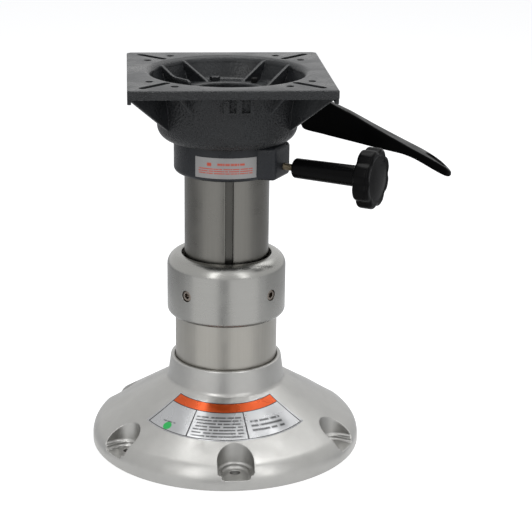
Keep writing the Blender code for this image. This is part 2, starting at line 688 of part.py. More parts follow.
def build_inner_tube(material):
    """Return the moving tube, an extrusion with a key groove down its front."""
    bottom = LOWER_BUSH_BOTTOM
    half = 0.5 * GROOVE_WIDTH
    outer = keyed_ring(INNER_TUBE_RADIUS, half, GROOVE_FLOOR, INNER_TUBE_RADIUS, FINE)
    inner_half = half + GROOVE_WALL
    inner = keyed_ring(INNER_TUBE_BORE, inner_half, GROOVE_FLOOR - GROOVE_WALL, INNER_TUBE_BORE, FINE)
    rings = [raised(outer, bottom), raised(outer, INNER_TUBE_TOP)]
    rings += [raised(inner, INNER_TUBE_TOP), raised(inner, bottom)]
    tube = new_object("inner_tube", loft(rings, closed=True), material)
    return tube


def build_upper_bush(material):
    """Return the nylon guide in the collar, with the key that rides in the tube's groove."""
    inner_radius = INNER_TUBE_RADIUS + SLIDE_FIT
    half = 0.5 * GROOVE_WIDTH - KEY_CLEARANCE
    key = GROOVE_FLOOR + KEY_CLEARANCE
    inner = keyed_ring(inner_radius, half, key, inner_radius, MEDIUM)
    sleeve = keyed_ring(OUTER_TUBE_BORE - TOUCH, half, OUTER_TUBE_BORE - TOUCH, inner_radius, MEDIUM)
    flange_radius = OUTER_TUBE_RADIUS - TOUCH
    flange = keyed_ring(flange_radius, half, flange_radius, inner_radius, MEDIUM)
    step = OUTER_TUBE_TOP + TOUCH
    top = step + BUSH_FLANGE
    rings = [raised(sleeve, UPPER_BUSH_BOTTOM), raised(sleeve, step), raised(flange, step)]
    rings += [raised(flange, top), raised(inner, top), raised(inner, UPPER_BUSH_BOTTOM)]
    return new_object("upper_guide_bush", loft(rings, closed=True), material)


def build_lower_bush(material):
    """Return the split guide ring that travels with the inner tube's foot."""
    inner = INNER_TUBE_RADIUS + TOUCH
    outer = OUTER_TUBE_BORE - SLIDE_FIT
    profile = tube_profile(inner, outer, LOWER_BUSH_BOTTOM, LOWER_BUSH_TOP)
    bush = turned("lower_guide_bush", profile, material, MEDIUM)
    return bush


def build_gas_spring(steel, dark):
    """Return the gas spring's body, gland, piston, rod, valve pin and rod nut."""
    pin_hole = VALVE_PIN_RADIUS + SLIDE_FIT
    crown = GAS_BODY_TOP - GAS_CROWN
    profile = [(GAS_BORE, GAS_BODY_BOTTOM), (GAS_BODY_RADIUS, GAS_BODY_BOTTOM)]
    profile += [(GAS_BODY_RADIUS, GAS_BODY_TOP), (GAS_NECK_RADIUS, GAS_BODY_TOP)]
    profile += [(GAS_NECK_RADIUS, GAS_NECK_TOP), (pin_hole, GAS_NECK_TOP)]
    profile += [(pin_hole, crown), (GAS_BORE, crown)]
    body = turned("gas_spring_body", profile, dark, SMALL)
    ring = tube_profile(GAS_ROD_RADIUS + SLIDE_FIT, GAS_BORE - TOUCH, GAS_BODY_BOTTOM, GAS_BODY_BOTTOM + GLAND_LENGTH)
    gland = turned("gas_spring_gland", ring, dark, SMALL)
    seat = GAS_ROD_TOP - PISTON_LENGTH
    ring = tube_profile(GAS_ROD_RADIUS + TOUCH, GAS_BORE - SLIDE_FIT, seat, GAS_ROD_TOP)
    piston = turned("gas_spring_piston", ring, dark, SMALL)
    profile = [(0.0, GAS_ROD_BOTTOM), (GAS_ROD_RADIUS - 0.8 * MM, GAS_ROD_BOTTOM)]
    profile += [(GAS_ROD_RADIUS, GAS_ROD_BOTTOM + 0.8 * MM), (GAS_ROD_RADIUS, GAS_ROD_TOP)]
    profile += [(0.0, GAS_ROD_TOP)]
    rod = turned("gas_spring_rod", profile, steel, SMALL)
    pin_bottom = VALVE_PIN_TOP - VALVE_PIN_LENGTH
    profile = [(0.0, pin_bottom), (VALVE_PIN_RADIUS, pin_bottom)]
    profile += [(VALVE_PIN_RADIUS, VALVE_PIN_TOP - 0.8 * MM), (VALVE_PIN_RADIUS - 0.8 * MM, VALVE_PIN_TOP)]
    profile += [(0.0, VALVE_PIN_TOP)]
    pin = turned("valve_pin", profile, steel, SMALL)
    low = Vector((0.0, 0.0, ROD_NUT_BOTTOM))
    high = Vector((0.0, 0.0, ROD_NUT_BOTTOM + ROD_NUT_HEIGHT))
    nut = cylinder_between("rod_nut", low, high, hexagon(ROD_NUT_FLATS), facets=6)
    lift = Vector((0.0, 0.0, 1.0 * MM))
    bore = cylinder_between("nut_bore", low - lift, high + lift, GAS_ROD_RADIUS + TOUCH)
    apply_boolean(nut, bore, "DIFFERENCE")
    dress(nut, steel)
    return [body, gland, piston, rod, pin, nut]


def build_post_head(material):
    """Return the plug that closes the inner tube, holds the gas spring and carries the swivel."""
    spigot = INNER_TUBE_BORE - TOUCH
    body_bore = GAS_BODY_RADIUS + TOUCH
    neck_bore = GAS_NECK_RADIUS + TOUCH
    shoulder = GAS_BODY_TOP + TOUCH
    groove_low = SNAP_BOTTOM - TOUCH
    groove_high = SNAP_TOP + TOUCH
    profile = [(body_bore, HEAD_BOTTOM), (spigot, HEAD_BOTTOM), (spigot, FLANGE_BOTTOM)]
    profile += [(INNER_TUBE_RADIUS, FLANGE_BOTTOM), (INNER_TUBE_RADIUS, FLANGE_TOP)]
    profile += [(HEAD_BOSS_RADIUS, FLANGE_TOP), (HEAD_BOSS_RADIUS, groove_low)]
    profile += [(SNAP_GROOVE_RADIUS, groove_low), (SNAP_GROOVE_RADIUS, groove_high)]
    profile += [(HEAD_BOSS_RADIUS, groove_high), (HEAD_BOSS_RADIUS, HEAD_TOP)]
    profile += [(neck_bore, HEAD_TOP), (neck_bore, shoulder), (body_bore, shoulder)]
    head = turned("post_head", profile, facets=MEDIUM)
    half = 0.5 * GROOVE_WIDTH + GROOVE_WALL + SPLIT
    near = GROOVE_FLOOR - GROOVE_WALL - SPLIT
    outline = [(-half, -near), (-half, -INNER_TUBE_RADIUS), (half, -INNER_TUBE_RADIUS), (half, -near)]
    notch = prism("notch", outline, HEAD_BOTTOM - SPLIT, FLANGE_BOTTOM)
    apply_boolean(head, notch, "DIFFERENCE")
    dress(head, material)
    return head


def build_swivel_rings(nylon, steel):
    """Return the thrust washer, the swivel bush, the retaining washer and the snap ring."""
    bore = HEAD_BOSS_RADIUS + TOUCH
    profile = tube_profile(bore, INNER_TUBE_RADIUS, THRUST_BOTTOM, THRUST_TOP)
    thrust = turned("thrust_washer", profile, nylon, MEDIUM)
    inner = INNER_TUBE_RADIUS + TOUCH
    profile = tube_profile(inner, SWIVEL_BUSH_RADIUS, HUB_BOTTOM + SPLIT, THRUST_TOP)
    bush = turned("swivel_bush", profile, facets=FINE)
    start = polar(INNER_TUBE_BORE, LOCK_AZIMUTH, LOCK_Z)
    end = polar(HUB_RADIUS, LOCK_AZIMUTH, LOCK_Z)
    apply_boolean(bush, cylinder_between("pad_hole", start, end, BRAKE_PAD_RADIUS + TOUCH), "DIFFERENCE")
    dress(bush, nylon)
    profile = tube_profile(bore, RETAINING_WASHER_RADIUS, KEEPER_BOTTOM, KEEPER_TOP)
    keeper = turned("retaining_washer", profile, steel, MEDIUM)
    profile = tube_profile(SNAP_GROOVE_RADIUS + TOUCH, SNAP_RING_RADIUS, SNAP_BOTTOM, SNAP_TOP)
    ring = turned("snap_ring", profile, facets=MEDIUM)
    gap = [(0.0, -2.5 * MM), (HUB_RADIUS, -2.5 * MM), (HUB_RADIUS, 2.5 * MM), (0.0, 2.5 * MM)]
    apply_boolean(ring, prism("ring_gap", gap, SNAP_BOTTOM - SPLIT, SNAP_TOP + SPLIT), "DIFFERENCE")
    dress(ring, steel)
    return [thrust, bush, keeper, ring]


def lever_slot_heights(x):
    """Return the lowest and highest point that the lever's arm needs at a distance."""
    low = arm_bottom_at(x) - LEVER_SLOT_SPARE
    high = arm_bottom_at(x) + LEVER_ARM_THICKNESS + LEVER_SLOT_SPARE
    if x < PIVOT_X:
        low -= (PIVOT_X - x) * math.tan(LEVER_TILT)
    return low, high


def arm_bottom_at(x):
    """Return the height of the arm's underside: level over the pin, then down to the pivot."""
    level_end = HUB_WELL_RADIUS
    foot = PIVOT_Z - 0.5 * LEVER_ARM_THICKNESS - 1.0 * MM
    if x <= level_end:
        return ARM_BOTTOM
    share = (x - level_end) / (PIVOT_X - level_end)
    return ARM_BOTTOM + (foot - ARM_BOTTOM) * min(share, 1.0)


def build_swivel_hub(material):
    """Return the hub that turns on the post, with the lock boss on its side."""
    low_edge = arc(HUB_RADIUS - HUB_EDGE_ROUND, HUB_BOTTOM + HUB_EDGE_ROUND, HUB_EDGE_ROUND, -90.0, 0.0, 3)
    profile = [(HUB_BORE, HUB_BOTTOM)] + low_edge
    profile += [(HUB_RADIUS, HUB_TOP), (HUB_WELL_RADIUS, HUB_TOP), (HUB_WELL_RADIUS, LEDGE_TOP)]
    profile += [(HEAD_BOSS_RADIUS + TOUCH, LEDGE_TOP), (HEAD_BOSS_RADIUS + TOUCH, LEDGE_BOTTOM)]
    profile += [(HUB_BORE, LEDGE_BOTTOM)]
    hub = turned("swivel_hub", profile)
    along = Vector((math.cos(LOCK_AZIMUTH), math.sin(LOCK_AZIMUTH)))
    across = Vector((-along.y, along.x))
    root = 0.5 * (HUB_BORE + HUB_RADIUS) * 0.86
    near = LOCK_FACE_HALF_WIDTH + LOCK_FACE_SHIFT
    far = LOCK_FACE_HALF_WIDTH - LOCK_FACE_SHIFT
    corners = [along * root - across * LOCK_ROOT_HALF_WIDTH, along * LOCK_FACE - across * near]
    corners += [along * LOCK_FACE + across * far, along * root + across * LOCK_ROOT_HALF_WIDTH]
    outline = [(point.x, point.y) for point in corners]
    boss = prism("lock_boss", outline, HUB_BOTTOM + 0.4 * MM, BOSS_TOP)
    core_profile = [(0.0, HUB_BOTTOM - SPLIT), (HUB_BORE + 1.0 * MM, HUB_BOTTOM - SPLIT)]
    core_profile += [(HUB_BORE + 1.0 * MM, HUB_TOP), (0.0, HUB_TOP)]
    apply_boolean(boss, turned("boss_core", core_profile), "DIFFERENCE")
    apply_boolean(hub, boss, "UNION")
    step = polar(LOCK_FACE - STUD_HOLE_DEPTH, LOCK_AZIMUTH, LOCK_Z)
    pad_bore = cylinder_between("pad_bore", polar(INNER_TUBE_BORE, LOCK_AZIMUTH, LOCK_Z), step,
                                BRAKE_PAD_RADIUS + TOUCH)
    apply_boolean(hub, pad_bore, "DIFFERENCE")
    outside = polar(LOCK_FACE + 2.0 * MM, LOCK_AZIMUTH, LOCK_Z)
    inside = polar(HUB_BORE, LOCK_AZIMUTH, LOCK_Z)
    cutters = [cylinder_between("stud_hole", inside, outside, STUD_RADIUS + TOUCH)]
    slot_low = lever_slot_heights(HUB_WELL_RADIUS)[0]
    half = LEVER_SLOT_HALF
    outline = [(0.5 * HUB_WELL_RADIUS, -half), (HUB_RADIUS + SPLIT, -half)]
    outline += [(HUB_RADIUS + SPLIT, half), (0.5 * HUB_WELL_RADIUS, half)]
    cutters.append(prism("arm_slot", outline, max(slot_low, LEDGE_TOP + SPLIT), HUB_TOP + SPLIT))
    bolt_bottom = FLOOR_TOP_RING - HUB_BOLT_LENGTH - 1.0 * MM
    for azimuth in HUB_BOLT_AZIMUTHS:
        low = polar(HUB_BOLT_CIRCLE, azimuth, bolt_bottom)
        high = polar(HUB_BOLT_CIRCLE, azimuth, HUB_TOP + SPLIT)
        cutters.append(cylinder_between("bolt_hole", low, high, HUB_BOLT_RADIUS + TOUCH, facets=TINY))
    low = polar(PLUG_CIRCLE, PLUG_AZIMUTH, FLOOR_TOP_RING - PLUG_STEM_LENGTH - 1.0 * MM)
    high = polar(PLUG_CIRCLE, PLUG_AZIMUTH, HUB_TOP + SPLIT)
    cutters.append(cylinder_between("plug_hole", low, high, PLUG_STEM_RADIUS + TOUCH, facets=TINY))
    apply_boolean(hub, joined("hub_cutters", cutters), "DIFFERENCE")
    dress(hub, material)
    return hub


def floor_height(radius):
    """Return the height of the bowl floor's top at a distance from the axis."""
    ring = FLOOR_HOLE_RADIUS + 3.0 * MM
    foot = BOWL_WALL_FOOT - 4.0 * MM
    share = min(max((radius - ring) / (foot - ring), 0.0), 1.0)
    return FLOOR_TOP_RING + (FLOOR_TOP_FOOT - FLOOR_TOP_RING) * share


def plate_angles():
    """Return the azimuths of the plate's and bowl's points, corner cuts included."""
    corner = math.atan2(PLATE_HALF - PLATE_CORNER_CUT, PLATE_HALF)
    angles = {round(2.0 * math.pi * k / FINE, 9) for k in range(FINE)}
    for quarter in QUARTER_TURNS:
        near = {a for a in angles if abs(a - quarter - math.pi / 4.0) < math.radians(3.0)}
        angles -= near
        angles |= {round(quarter + corner, 9), round(quarter + math.pi / 2.0 - corner, 9)}
    return sorted(angles)


def square_ring(half, cut, angles, height):
    """Return points on a square with cut corners at the given azimuths."""
    points = []
    for angle in angles:
        c = abs(math.cos(angle))
        s = abs(math.sin(angle))
        reach = min(half / max(c, s), (2.0 * half - cut) / (c + s))
        points.append(polar(reach, angle, height))
    return points


def bowl_outer_profile():
    """Return the bowl's outer profile from the plate's underside down to the hub hole."""
    skirt = BOWL_OUTER_RADIUS
    points = [(BOWL_OUTER_TOP + 2.0 * MM, PLATE_UNDERSIDE), (BOWL_OUTER_TOP - 0.8 * MM, PLATE_UNDERSIDE - 3.0 * MM)]
    points += [(BOWL_OUTER_TOP - 3.2 * MM, PLATE_UNDERSIDE - 10.0 * MM)]
    points += [(skirt + 0.9 * MM, PLATE_UNDERSIDE - SKIRT_BREAK)]
    points += arc(skirt - SKIRT_ROUND, SKIRT_TOP, SKIRT_ROUND, 0.0, -68.0, 4)
    points.append((HUB_HOLE, BOWL_BOTTOM))
    return points


def build_bowl_and_plate():
    """Return the plate, rim, bowl and floor as one closed skin."""
    angles = plate_angles()
    rim_centre_r = BOWL_RIM_RADIUS
    rim_centre_z = PLATE_TOP - BOWL_RIM_ROUND
    wall_in = BOWL_OUTER_RADIUS - BOWL_WALL
    profile = [(FLOOR_HOLE_RADIUS, FLOOR_UNDERSIDE), (FLOOR_HOLE_RADIUS, FLOOR_TOP_RING - 2.2 * MM)]
    profile += [(FLOOR_HOLE_RADIUS + 0.8 * MM, FLOOR_TOP_RING - 0.7 * MM)]
    profile += [(FLOOR_HOLE_RADIUS + 3.0 * MM, FLOOR_TOP_RING)]
    profile += [(BOWL_WALL_FOOT - 4.0 * MM, FLOOR_TOP_FOOT), (BOWL_WALL_FOOT - 1.0 * MM, FLOOR_TOP_FOOT + 1.2 * MM)]
    profile += [(BOWL_WALL_FOOT, FLOOR_TOP_FOOT + 4.0 * MM)]
    profile += arc(rim_centre_r, rim_centre_z, BOWL_RIM_ROUND, 180.0, 90.0, 5)
    rings = [[polar(r, a, z) for a in angles] for r, z in profile]
    rings.append(square_ring(PLATE_HALF - PLATE_EDGE_ROUND, PLATE_CORNER_CUT, angles, PLATE_TOP))
    rings.append(square_ring(PLATE_HALF, PLATE_CORNER_CUT, angles, PLATE_TOP - PLATE_EDGE_ROUND))
    rings.append(square_ring(PLATE_HALF, PLATE_CORNER_CUT, angles, PLATE_UNDERSIDE))
    inside = [(HUB_HOLE, BOWL_BOTTOM + BOWL_WALL), (wall_in - 5.0 * MM, BOWL_BOTTOM + BOWL_WALL + 3.0 * MM)]
    inside += [(wall_in, BOWL_BOTTOM + BOWL_WALL + 8.0 * MM), (wall_in + 1.2 * MM, FLOOR_UNDERSIDE)]
    for r, z in bowl_outer_profile() + inside:
        rings.append([polar(r, a, z) for a in angles])
    return new_object("seat_mount", loft(rings, closed=True))


def skirt_radius(height):
    """Return the bowl's outer radius at a height in its skirt."""
    drop = min(max(SKIRT_TOP - height, 0.0), SKIRT_ROUND)
    return BOWL_OUTER_RADIUS - SKIRT_ROUND + math.sqrt(SKIRT_ROUND * SKIRT_ROUND - drop * drop)


def along_diagonal(radius):
    """Return how far along a corner web's plane a distance from the axis lies."""
    return math.sqrt(radius * radius - WEB_OFFSET * WEB_OFFSET)


def web_root(depth):
    """Return the edge of a web that lies inside the bowl's wall, from the plate down."""
    middle = skirt_radius(PLATE_TOP - depth - 1.0 * MM) - 0.25 * BOWL_WALL
    points = [(BOWL_RIM_RADIUS - 2.0 * MM, PLATE_UNDERSIDE + 0.5 * PLATE_THICKNESS)]
    points += [(BOWL_OUTER_TOP - 1.6 * MM, PLATE_UNDERSIDE - 0.8 * MM)]
    points += [(BOWL_WALL_FOOT + 2.0 * MM, PLATE_UNDERSIDE - 7.6 * MM)]
    points += [(BOWL_WALL_FOOT + 0.6 * MM, FLOOR_UNDERSIDE)]
    points += [(middle, PLATE_TOP - depth - 1.0 * MM)]
    return [(along_diagonal(radius), height) for radius, height in points]


def build_outer_webs():
    """Return the eight webs under the plate, two along each corner's diagonal."""
    top = PLATE_UNDERSIDE + 0.5 * PLATE_THICKNESS
    side_end = (PLATE_HALF - LIP_THICKNESS - 1.0 * MM) * math.sqrt(2.0) - WEB_OFFSET
    front_end = along_diagonal(BOWL_OUTER_RADIUS) + FRONT_WEB_LENGTH
    webs = []
    for quarter in QUARTER_TURNS:
        diagonal = quarter + math.pi / 4.0
        side_is_left = int(round(math.degrees(quarter) / 90.0)) % 2 == 1
        for side in (-1.0, 1.0):
            deep = (side > 0.0) == side_is_left
            if deep:
                depth, end, end_z = SIDE_WEB_DEPTH, side_end, PLATE_UNDERSIDE - LIP_DEPTH
            else:
                depth, end, end_z = FRONT_WEB_DEPTH, front_end, PLATE_UNDERSIDE - 0.6 * MM
            foot = along_diagonal(skirt_radius(PLATE_TOP - depth)) + 1.0 * MM
            outline = web_root(depth) + [(foot, PLATE_TOP - depth), (end, end_z), (end, top)]
            webs.append(upright_slab("web", outline, WEB_THICKNESS, diagonal, side * WEB_OFFSET))
    return webs


def build_inner_ribs():
    """Return the eight ribs inside the bowl, two of them with a low level end."""
    foot = along_diagonal(BOWL_WALL_FOOT + 1.6 * MM)
    head = along_diagonal(BOWL_RIM_RADIUS - 2.0 * MM)
    low = FLOOR_TOP_FOOT - 0.5 * FLOOR_THICKNESS
    tip = FLOOR_TOP_RING - 0.5 * MM
    root = [(foot, low), (foot, PLATE_TOP - 9.0 * MM), (head, PLATE_TOP - 5.0 * MM)]
    root += [(head, PLATE_TOP - 1.7 * MM), (head - 5.3 * MM, PLATE_TOP - 2.3 * MM)]
    ribs = []
    for number, quarter in enumerate(QUARTER_TURNS):
        diagonal = quarter + math.pi / 4.0
        for side in (-1.0, 1.0):
            start = INNER_RIB_START
            outline = [(start, low)] + root + [(start, tip)]
            if number in (1, 3) and side > 0.0:
                level = PLATE_TOP - 10.0 * MM
                start -= 4.5 * MM
                outline = [(start + 1.0 * MM, low)] + root
                ramp = start + INNER_RIB_SHELF + INNER_RIB_RAMP
                outline += [(ramp, level + 1.2 * MM), (start + INNER_RIB_SHELF, level)]
                outline += [(start + 3.0 * MM, level - 0.6 * MM), (start + 0.6 * MM, level - 2.2 * MM)]
                outline += [(start, tip)]
            ribs.append(upright_slab("rib", outline, WEB_THICKNESS, diagonal, side * WEB_OFFSET))
    return ribs


def build_ears():
    """Return the two ears that carry the lever's pin."""
    inside = [(BOWL_OUTER_TOP - 0.4 * MM, PLATE_UNDERSIDE + 2.4 * MM)]
    inside += [(BOWL_OUTER_TOP - 1.6 * MM, PLATE_UNDERSIDE - 0.8 * MM)]
    inside += [(BOWL_WALL_FOOT + 1.4 * MM, PLATE_UNDERSIDE - 8.4 * MM)]
    inside += [(BOWL_WALL_FOOT + 0.4 * MM, PIVOT_Z)]
    outline = inside + [(PIVOT_X - EAR_RADIUS, PIVOT_Z)]
    for k in range(1, 8):
        angle = math.radians(180.0 + 22.5 * k)
        outline.append((PIVOT_X + EAR_RADIUS * math.cos(angle), PIVOT_Z + EAR_RADIUS * math.sin(angle)))
    outline += [(PIVOT_X + EAR_RADIUS, PIVOT_Z), (PIVOT_X + EAR_RADIUS, PLATE_UNDERSIDE + 2.4 * MM)]
    offset = 0.5 * (EAR_INNER + EAR_OUTER)
    return [upright_slab("ear", outline, EAR_THICKNESS, 0.0, side * offset) for side in (-1.0, 1.0)]


def build_front_pad():
    """Return the pad on the bowl's front, its back inside the bowl's wall."""
    west = PAD_CENTRE - PAD_HALF_WIDTH
    east = PAD_CENTRE + PAD_HALF_WIDTH
    levels = (
        (PLATE_TOP - PAD_DEPTH, BOWL_WALL_FOOT + 0.8 * MM),
        (PLATE_UNDERSIDE - 8.2 * MM, BOWL_WALL_FOOT + 1.6 * MM),
        (PLATE_UNDERSIDE - 0.8 * MM, BOWL_OUTER_TOP - 1.6 * MM),
        (PLATE_UNDERSIDE + 2.4 * MM, BOWL_OUTER_TOP - 0.6 * MM),
    )
    rings = []
    for height, radius in levels:
        ring = [(west, -PAD_FACE, height), (east, -PAD_FACE, height)]
        for k in range(5):
            x = east + (west - east) * k / 4.0
            ring.append((x, -math.sqrt(radius * radius - x * x), height))
        rings.append(ring)
    return new_object("pad", loft(rings))


def build_plate_extras():
    """Return the side lips, the lever's ears and the pad under the plate's front."""
    reach = PLATE_HALF - LIP_END_INSET
    middle = PLATE_UNDERSIDE + 0.5 * PLATE_THICKNESS
    extras = build_ears() + [build_front_pad()]
    for side in (-1.0, 1.0):
        inner = side * (PLATE_HALF - LIP_THICKNESS - TOUCH)
        outer = side * (PLATE_HALF - TOUCH)
        outline = [(inner, -reach), (outer, -reach), (outer, reach), (inner, reach)]
        extras.append(prism("lip", outline, PLATE_UNDERSIDE - LIP_DEPTH, middle))
    return extras


def build_plate_cutters():
    """Return the cutters for the seat holes and slots, the lever and the hub bolts."""
    cutters = []
    low = PLATE_UNDERSIDE - 1.5 * MM
    high = PLATE_TOP + 1.0 * MM
    for sx in (-1.0, 1.0):
        for sy in (-1.0, 1.0):
            for x, y in ((SEAT_HOLE_NEAR, SEAT_HOLE_FAR), (SEAT_HOLE_FAR, SEAT_HOLE_NEAR)):
                start = (sx * x, sy * y, low)
                end = (sx * x, sy * y, high)
                cutters.append(cylinder_between("seat_hole", start, end, SEAT_HOLE_RADIUS, facets=TINY))
    half = 0.5 * SEAT_SLOT_WIDTH
    for quarter in QUARTER_TURNS:
        along = polar(1.0, quarter + math.pi / 4.0)
        across = Vector((-along.y, along.x, 0.0))
        outline = []
        for centre, first in ((SEAT_SLOT_OUTER - half, -90.0), (SEAT_SLOT_INNER + half, 90.0)):
            for k in range(5):
                turn = math.radians(first + 45.0 * k)
                point = along * (centre + half * math.cos(turn)) + across * half * math.sin(turn)
                outline.append((point.x, point.y))
        cutters.append(prism("seat_slot", outline, low, high))
    return cutters


def build_floor_cutters():
    """Return the cutters for the lever's way in, its pin and the fasteners in the floor."""
    cutters = []
    wall = BOWL_OUTER_RADIUS
    low = lever_slot_heights(wall - BOWL_WALL)[0]
    high = FLOOR_UNDERSIDE - TOUCH
    half = LEVER_SLOT_HALF
    outline = [(wall - 2.0 * BOWL_WALL, -half), (wall + 2.0 * BOWL_WALL, -half)]
    outline += [(wall + 2.0 * BOWL_WALL, half), (wall - 2.0 * BOWL_WALL, half)]
    cutters.append(prism("lever_way", outline, low, high))
    reach = EAR_OUTER + 2.0 * MM
    start = (PIVOT_X, -reach, PIVOT_Z)
    end = (PIVOT_X, reach, PIVOT_Z)
    cutters.append(cylinder_between("pin_hole", start, end, PIVOT_PIN_RADIUS + TOUCH, facets=16))
    for azimuth in HUB_BOLT_AZIMUTHS:
        start = polar(HUB_BOLT_CIRCLE, azimuth, FLOOR_UNDERSIDE - SPLIT)
        end = polar(HUB_BOLT_CIRCLE, azimuth, PLATE_TOP)
        cutters.append(cylinder_between("bolt_hole", start, end, HUB_BOLT_RADIUS + TOUCH, facets=TINY))
    start = polar(PLUG_CIRCLE, PLUG_AZIMUTH, FLOOR_UNDERSIDE - SPLIT)
    end = polar(PLUG_CIRCLE, PLUG_AZIMUTH, PLATE_TOP)
    cutters.append(cylinder_between("plug_hole", start, end, PLUG_STEM_RADIUS + TOUCH, facets=TINY))
    return cutters


def build_pad_recesses():
    """Return the cutters for the two upright recesses in the front pad."""
    cutters = []
    low = PLATE_TOP - PAD_DEPTH + 1.6 * MM
    high = PLATE_UNDERSIDE - 1.5 * MM
    for x0, x1 in ((-7.6 * MM, -1.8 * MM), (2.8 * MM, 9.4 * MM)):
        outline = [(PAD_CENTRE + x0, -PAD_FACE - 1.0 * MM), (PAD_CENTRE + x1, -PAD_FACE - 1.0 * MM)]
        outline += [(PAD_CENTRE + x1, PAD_RECESS_DEPTH - PAD_FACE), (PAD_CENTRE + x0, PAD_RECESS_DEPTH - PAD_FACE)]
        cutters.append(prism("recess", outline, low, high))
    return cutters


def build_seat_mount(material):
    """Return the seat mount casting."""
    mount = build_bowl_and_plate()
    apply_boolean(mount, joined("webs", build_outer_webs()), "UNION")
    apply_boolean(mount, joined("ribs", build_inner_ribs()), "UNION")
    apply_boolean(mount, joined("extras", build_plate_extras()), "UNION")
    apply_boolean(mount, joined("plate_cutters", build_plate_cutters()), "DIFFERENCE")
    apply_boolean(mount, joined("floor_cutters", build_floor_cutters()), "DIFFERENCE")
    apply_boolean(mount, joined("recesses", build_pad_recesses()), "DIFFERENCE")
    dress(mount, material)
    return mount


def build_floor_fasteners(steel, rubber):
    """Return the hub bolts and the black plug in the bowl's floor."""
    pieces = []
    seat = floor_height(HUB_BOLT_CIRCLE - 0.5 * HUB_BOLT_FLATS) + TOUCH
    for number, azimuth in enumerate(HUB_BOLT_AZIMUTHS, start=1):
        low = polar(HUB_BOLT_CIRCLE, azimuth, seat - HUB_BOLT_LENGTH)
        high = polar(HUB_BOLT_CIRCLE, azimuth, seat)
        bolt = cylinder_between(f"hub_bolt_{number}", low, high, HUB_BOLT_RADIUS, facets=TINY)
        top = polar(HUB_BOLT_CIRCLE, azimuth, seat + HUB_BOLT_HEAD)
        head = cylinder_between("bolt_head", high - Vector((0.0, 0.0, 0.05 * MM)), top, hexagon(HUB_BOLT_FLATS), facets=6)
        apply_boolean(bolt, head, "UNION")
        dress(bolt, steel)
        pieces.append(bolt)
    seat = floor_height(PLUG_CIRCLE - PLUG_RADIUS) + TOUCH
    profile = [(0.0, -PLUG_STEM_LENGTH), (PLUG_STEM_RADIUS, -PLUG_STEM_LENGTH), (PLUG_STEM_RADIUS, 0.0)]
    profile += [(PLUG_RADIUS, 0.0), (PLUG_RADIUS, PLUG_HEAD - 1.0 * MM), (PLUG_RADIUS - 1.0 * MM, PLUG_HEAD)]
    profile += [(0.0, PLUG_HEAD)]
    plug = turned("floor_plug", profile, rubber, TINY)
    plug.location = polar(PLUG_CIRCLE, PLUG_AZIMUTH, seat)
    pieces.append(plug)
    return pieces


def lever_station(x, half, top, bottom, top_round, bottom_round):
    """Return one rounded cross-section of the lever, in a plane across X."""
    points = []
    corners = ((half - top_round, top - top_round, top_round, 0.0), (top_round - half, top - top_round, top_round, 90.0))
    corners += ((bottom_round - half, bottom + bottom_round, bottom_round, 180.0),)
    corners += ((half - bottom_round, bottom + bottom_round, bottom_round, 270.0),)
    for centre_y, centre_z, radius, first in corners:
        for k in range(3):
            angle = math.radians(first + 45.0 * k)
            points.append((x, centre_y + radius * math.cos(angle), centre_z + radius * math.sin(angle)))
    return points


def lever_stations():
    """Return the lever's stations: distance, half width, height of its top and of its bottom.

    Distances are shares of the reach from the pivot, heights shares of the fall below it.
    """
    root = LEVER_ROOT_HALF
    paddle = LEVER_PADDLE_HALF
    neck = 0.5 * (root + paddle)
    shares = (
        (-0.0884, root, 0.0462, 0.2615),
        (-0.0735, root, -0.0308, 0.3338),
        (-0.0512, root, -0.1000, 0.3615),
        (-0.0083, root, -0.1215, 0.3862),
        (0.1610, root, 0.0385, 0.4662),
        (0.2849, root, 0.1523, 0.5246),
        (0.4583, root + 1.2 * MM, 0.3354, 0.6062),
        (0.6276, neck - 0.6 * MM, 0.5062, 0.6800),
        (0.7225, neck + 1.0 * MM, 0.6015, 0.7508),
        (0.8258, paddle - 0.4 * MM, 0.7062, 0.8585),
        (0.8960, paddle, 0.7862, 0.9323),
        (0.9496, paddle - 1.8 * MM, 0.8569, 0.9831),
        (0.9827, paddle - 4.2 * MM, 0.9123, 1.0000),
        (1.0000, paddle - 6.8 * MM, 0.9462, 0.9954),
    )
    stations = []
    for along, half, top, bottom in shares:
        stations.append((PIVOT_X + along * LEVER_REACH, half, PIVOT_Z - top * LEVER_FALL, PIVOT_Z - bottom * LEVER_FALL))
    return stations


def build_lever_shell():
    """Return the lever's outer form, hollowed from below into a channel."""
    rings = []
    for x, half, top, bottom in lever_stations():
        height = top - bottom
        top_round = min(2.4 * MM, 0.45 * height)
        bottom_round = min(1.2 * MM, 0.3 * height)
        rings.append(lever_station(x, half, top, bottom, top_round, bottom_round))
    shell = new_object("lever_shell", loft(rings))
    cut_rings = []
    for x, half, top, bottom in lever_stations()[2:8]:
        inner = half - LEVER_WALL
        high = top - 1.3 * LEVER_WALL
        low = bottom - 6.0 * MM
        cut_rings.append([(x, y, z) for y, z in ((inner, high), (-inner, high), (-inner, low), (inner, low))])
    first = cut_rings[0]
    cut_rings[0] = [(x + LEVER_WALL, y, z) for x, y, z in first]
    apply_boolean(shell, new_object("channel", loft(cut_rings)), "DIFFERENCE")
    return shell


